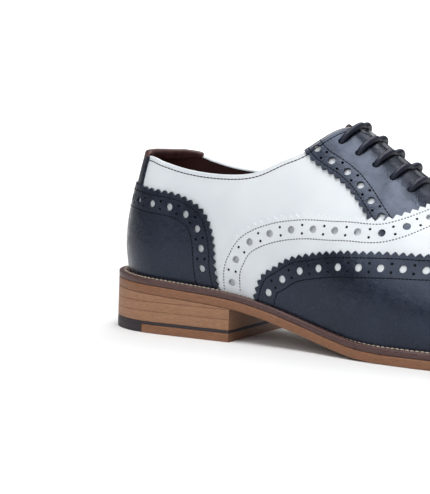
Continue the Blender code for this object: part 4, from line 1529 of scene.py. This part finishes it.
def make_set():
    """Pale floor and backdrop, soft lights, and the camera at the photo's angle."""
    front_left, front_right = ((side, -STAGE_SIDE, 0) for side in (-STAGE_SIDE, STAGE_SIDE))
    back_left, back_right = ((side, STAGE_BACK, 0) for side in (-STAGE_SIDE, STAGE_SIDE))
    top_left, top_right = ((side, STAGE_BACK, STAGE_TOP) for side in (-STAGE_SIDE, STAGE_SIDE))
    floor = (front_left, front_right, back_right, back_left)
    _, tree, shader, place_in = stage_sheet("studio_floor", floor)
    backwards = add_node(tree, "SeparateXYZ", {"Vector": place_in}).outputs["Y"]
    glow = spread(tree, backwards, *FLOOR_GLOW, *FLOOR_GLOW_REACH)
    set_inputs(tree, shader, {"Emission Strength": glow})
    wall = (back_left, back_right, top_right, top_left)
    backdrop, tree, shader, _ = stage_sheet("studio_backdrop", wall)
    backdrop.visible_glossy = False
    set_inputs(tree, shader, {"Emission Strength": BACKDROP_GLOW})

    world = bpy.data.worlds.new("studio")
    world.use_nodes = True
    tree = world.node_tree
    direction = add_node(tree, "TexCoord", {}).outputs["Generated"]
    upwards = add_node(tree, "SeparateXYZ", {"Vector": direction}).outputs["Z"]
    set_inputs(tree, tree.nodes["Background"], {"Color": ramp(tree, upwards, *SKY)})
    bpy.context.scene.world = world
    bpy.context.scene.view_settings.view_transform = "Standard"

    for name, spot, size, power in LIGHTS:
        light = bpy.data.lights.new(name, "AREA")
        light.shape = "DISK"
        light.size = size
        light.energy = power
        lamp = add_object(name, light)
        lamp.location = spot
        lamp.rotation_euler = (Vector(LIGHT_TARGET) - Vector(spot)).to_track_quat("-Z", "Y").to_euler()

    yaw, pitch, roll = (math.radians(angle) for angle in CAMERA_TURN)
    back = Vector((math.sin(yaw) * math.cos(pitch), -math.cos(yaw) * math.cos(pitch), math.sin(pitch)))
    level = (-back).cross(Vector(UP)).normalized()
    up = level.cross(-back)
    right = level * math.cos(roll) + up * math.sin(roll)
    top = up * math.cos(roll) - level * math.sin(roll)
    camera = add_object("camera", bpy.data.cameras.new("camera"))
    camera.data.lens = CAMERA_LENS
    camera.data.sensor_width = CAMERA_SENSOR
    camera.matrix_world = Matrix((right, top, back)).transposed().to_4x4()
    camera.location = CAMERA_PLACE
    bpy.context.scene.camera = camera


make_quarters()
make_lining()
make_counter()
make_vamp()
make_wing()
make_facings()
make_back()
make_tongue()
make_lace()
make_sole()
make_heel()
dark_stitches.build("navy_stitching", DARK_THREAD, "navy_leather")
collar_stitches.build("collar_stitching", DARK_THREAD, "navy_leather")
grey_stitches.build("white_stitching", GREY_THREAD_AND_HOLE_SHADE, "white_leather")
cream_stitches.build("welt_stitching", CREAM_THREAD, "welt_leather")
pinhole_shade_discs.build("painted_shade_in_pinholes", PINHOLE_SHADE, "navy_leather")
hole_shade_discs.build("hole_shade_discs", HOLE_SHADE, "white_leather")
make_set()
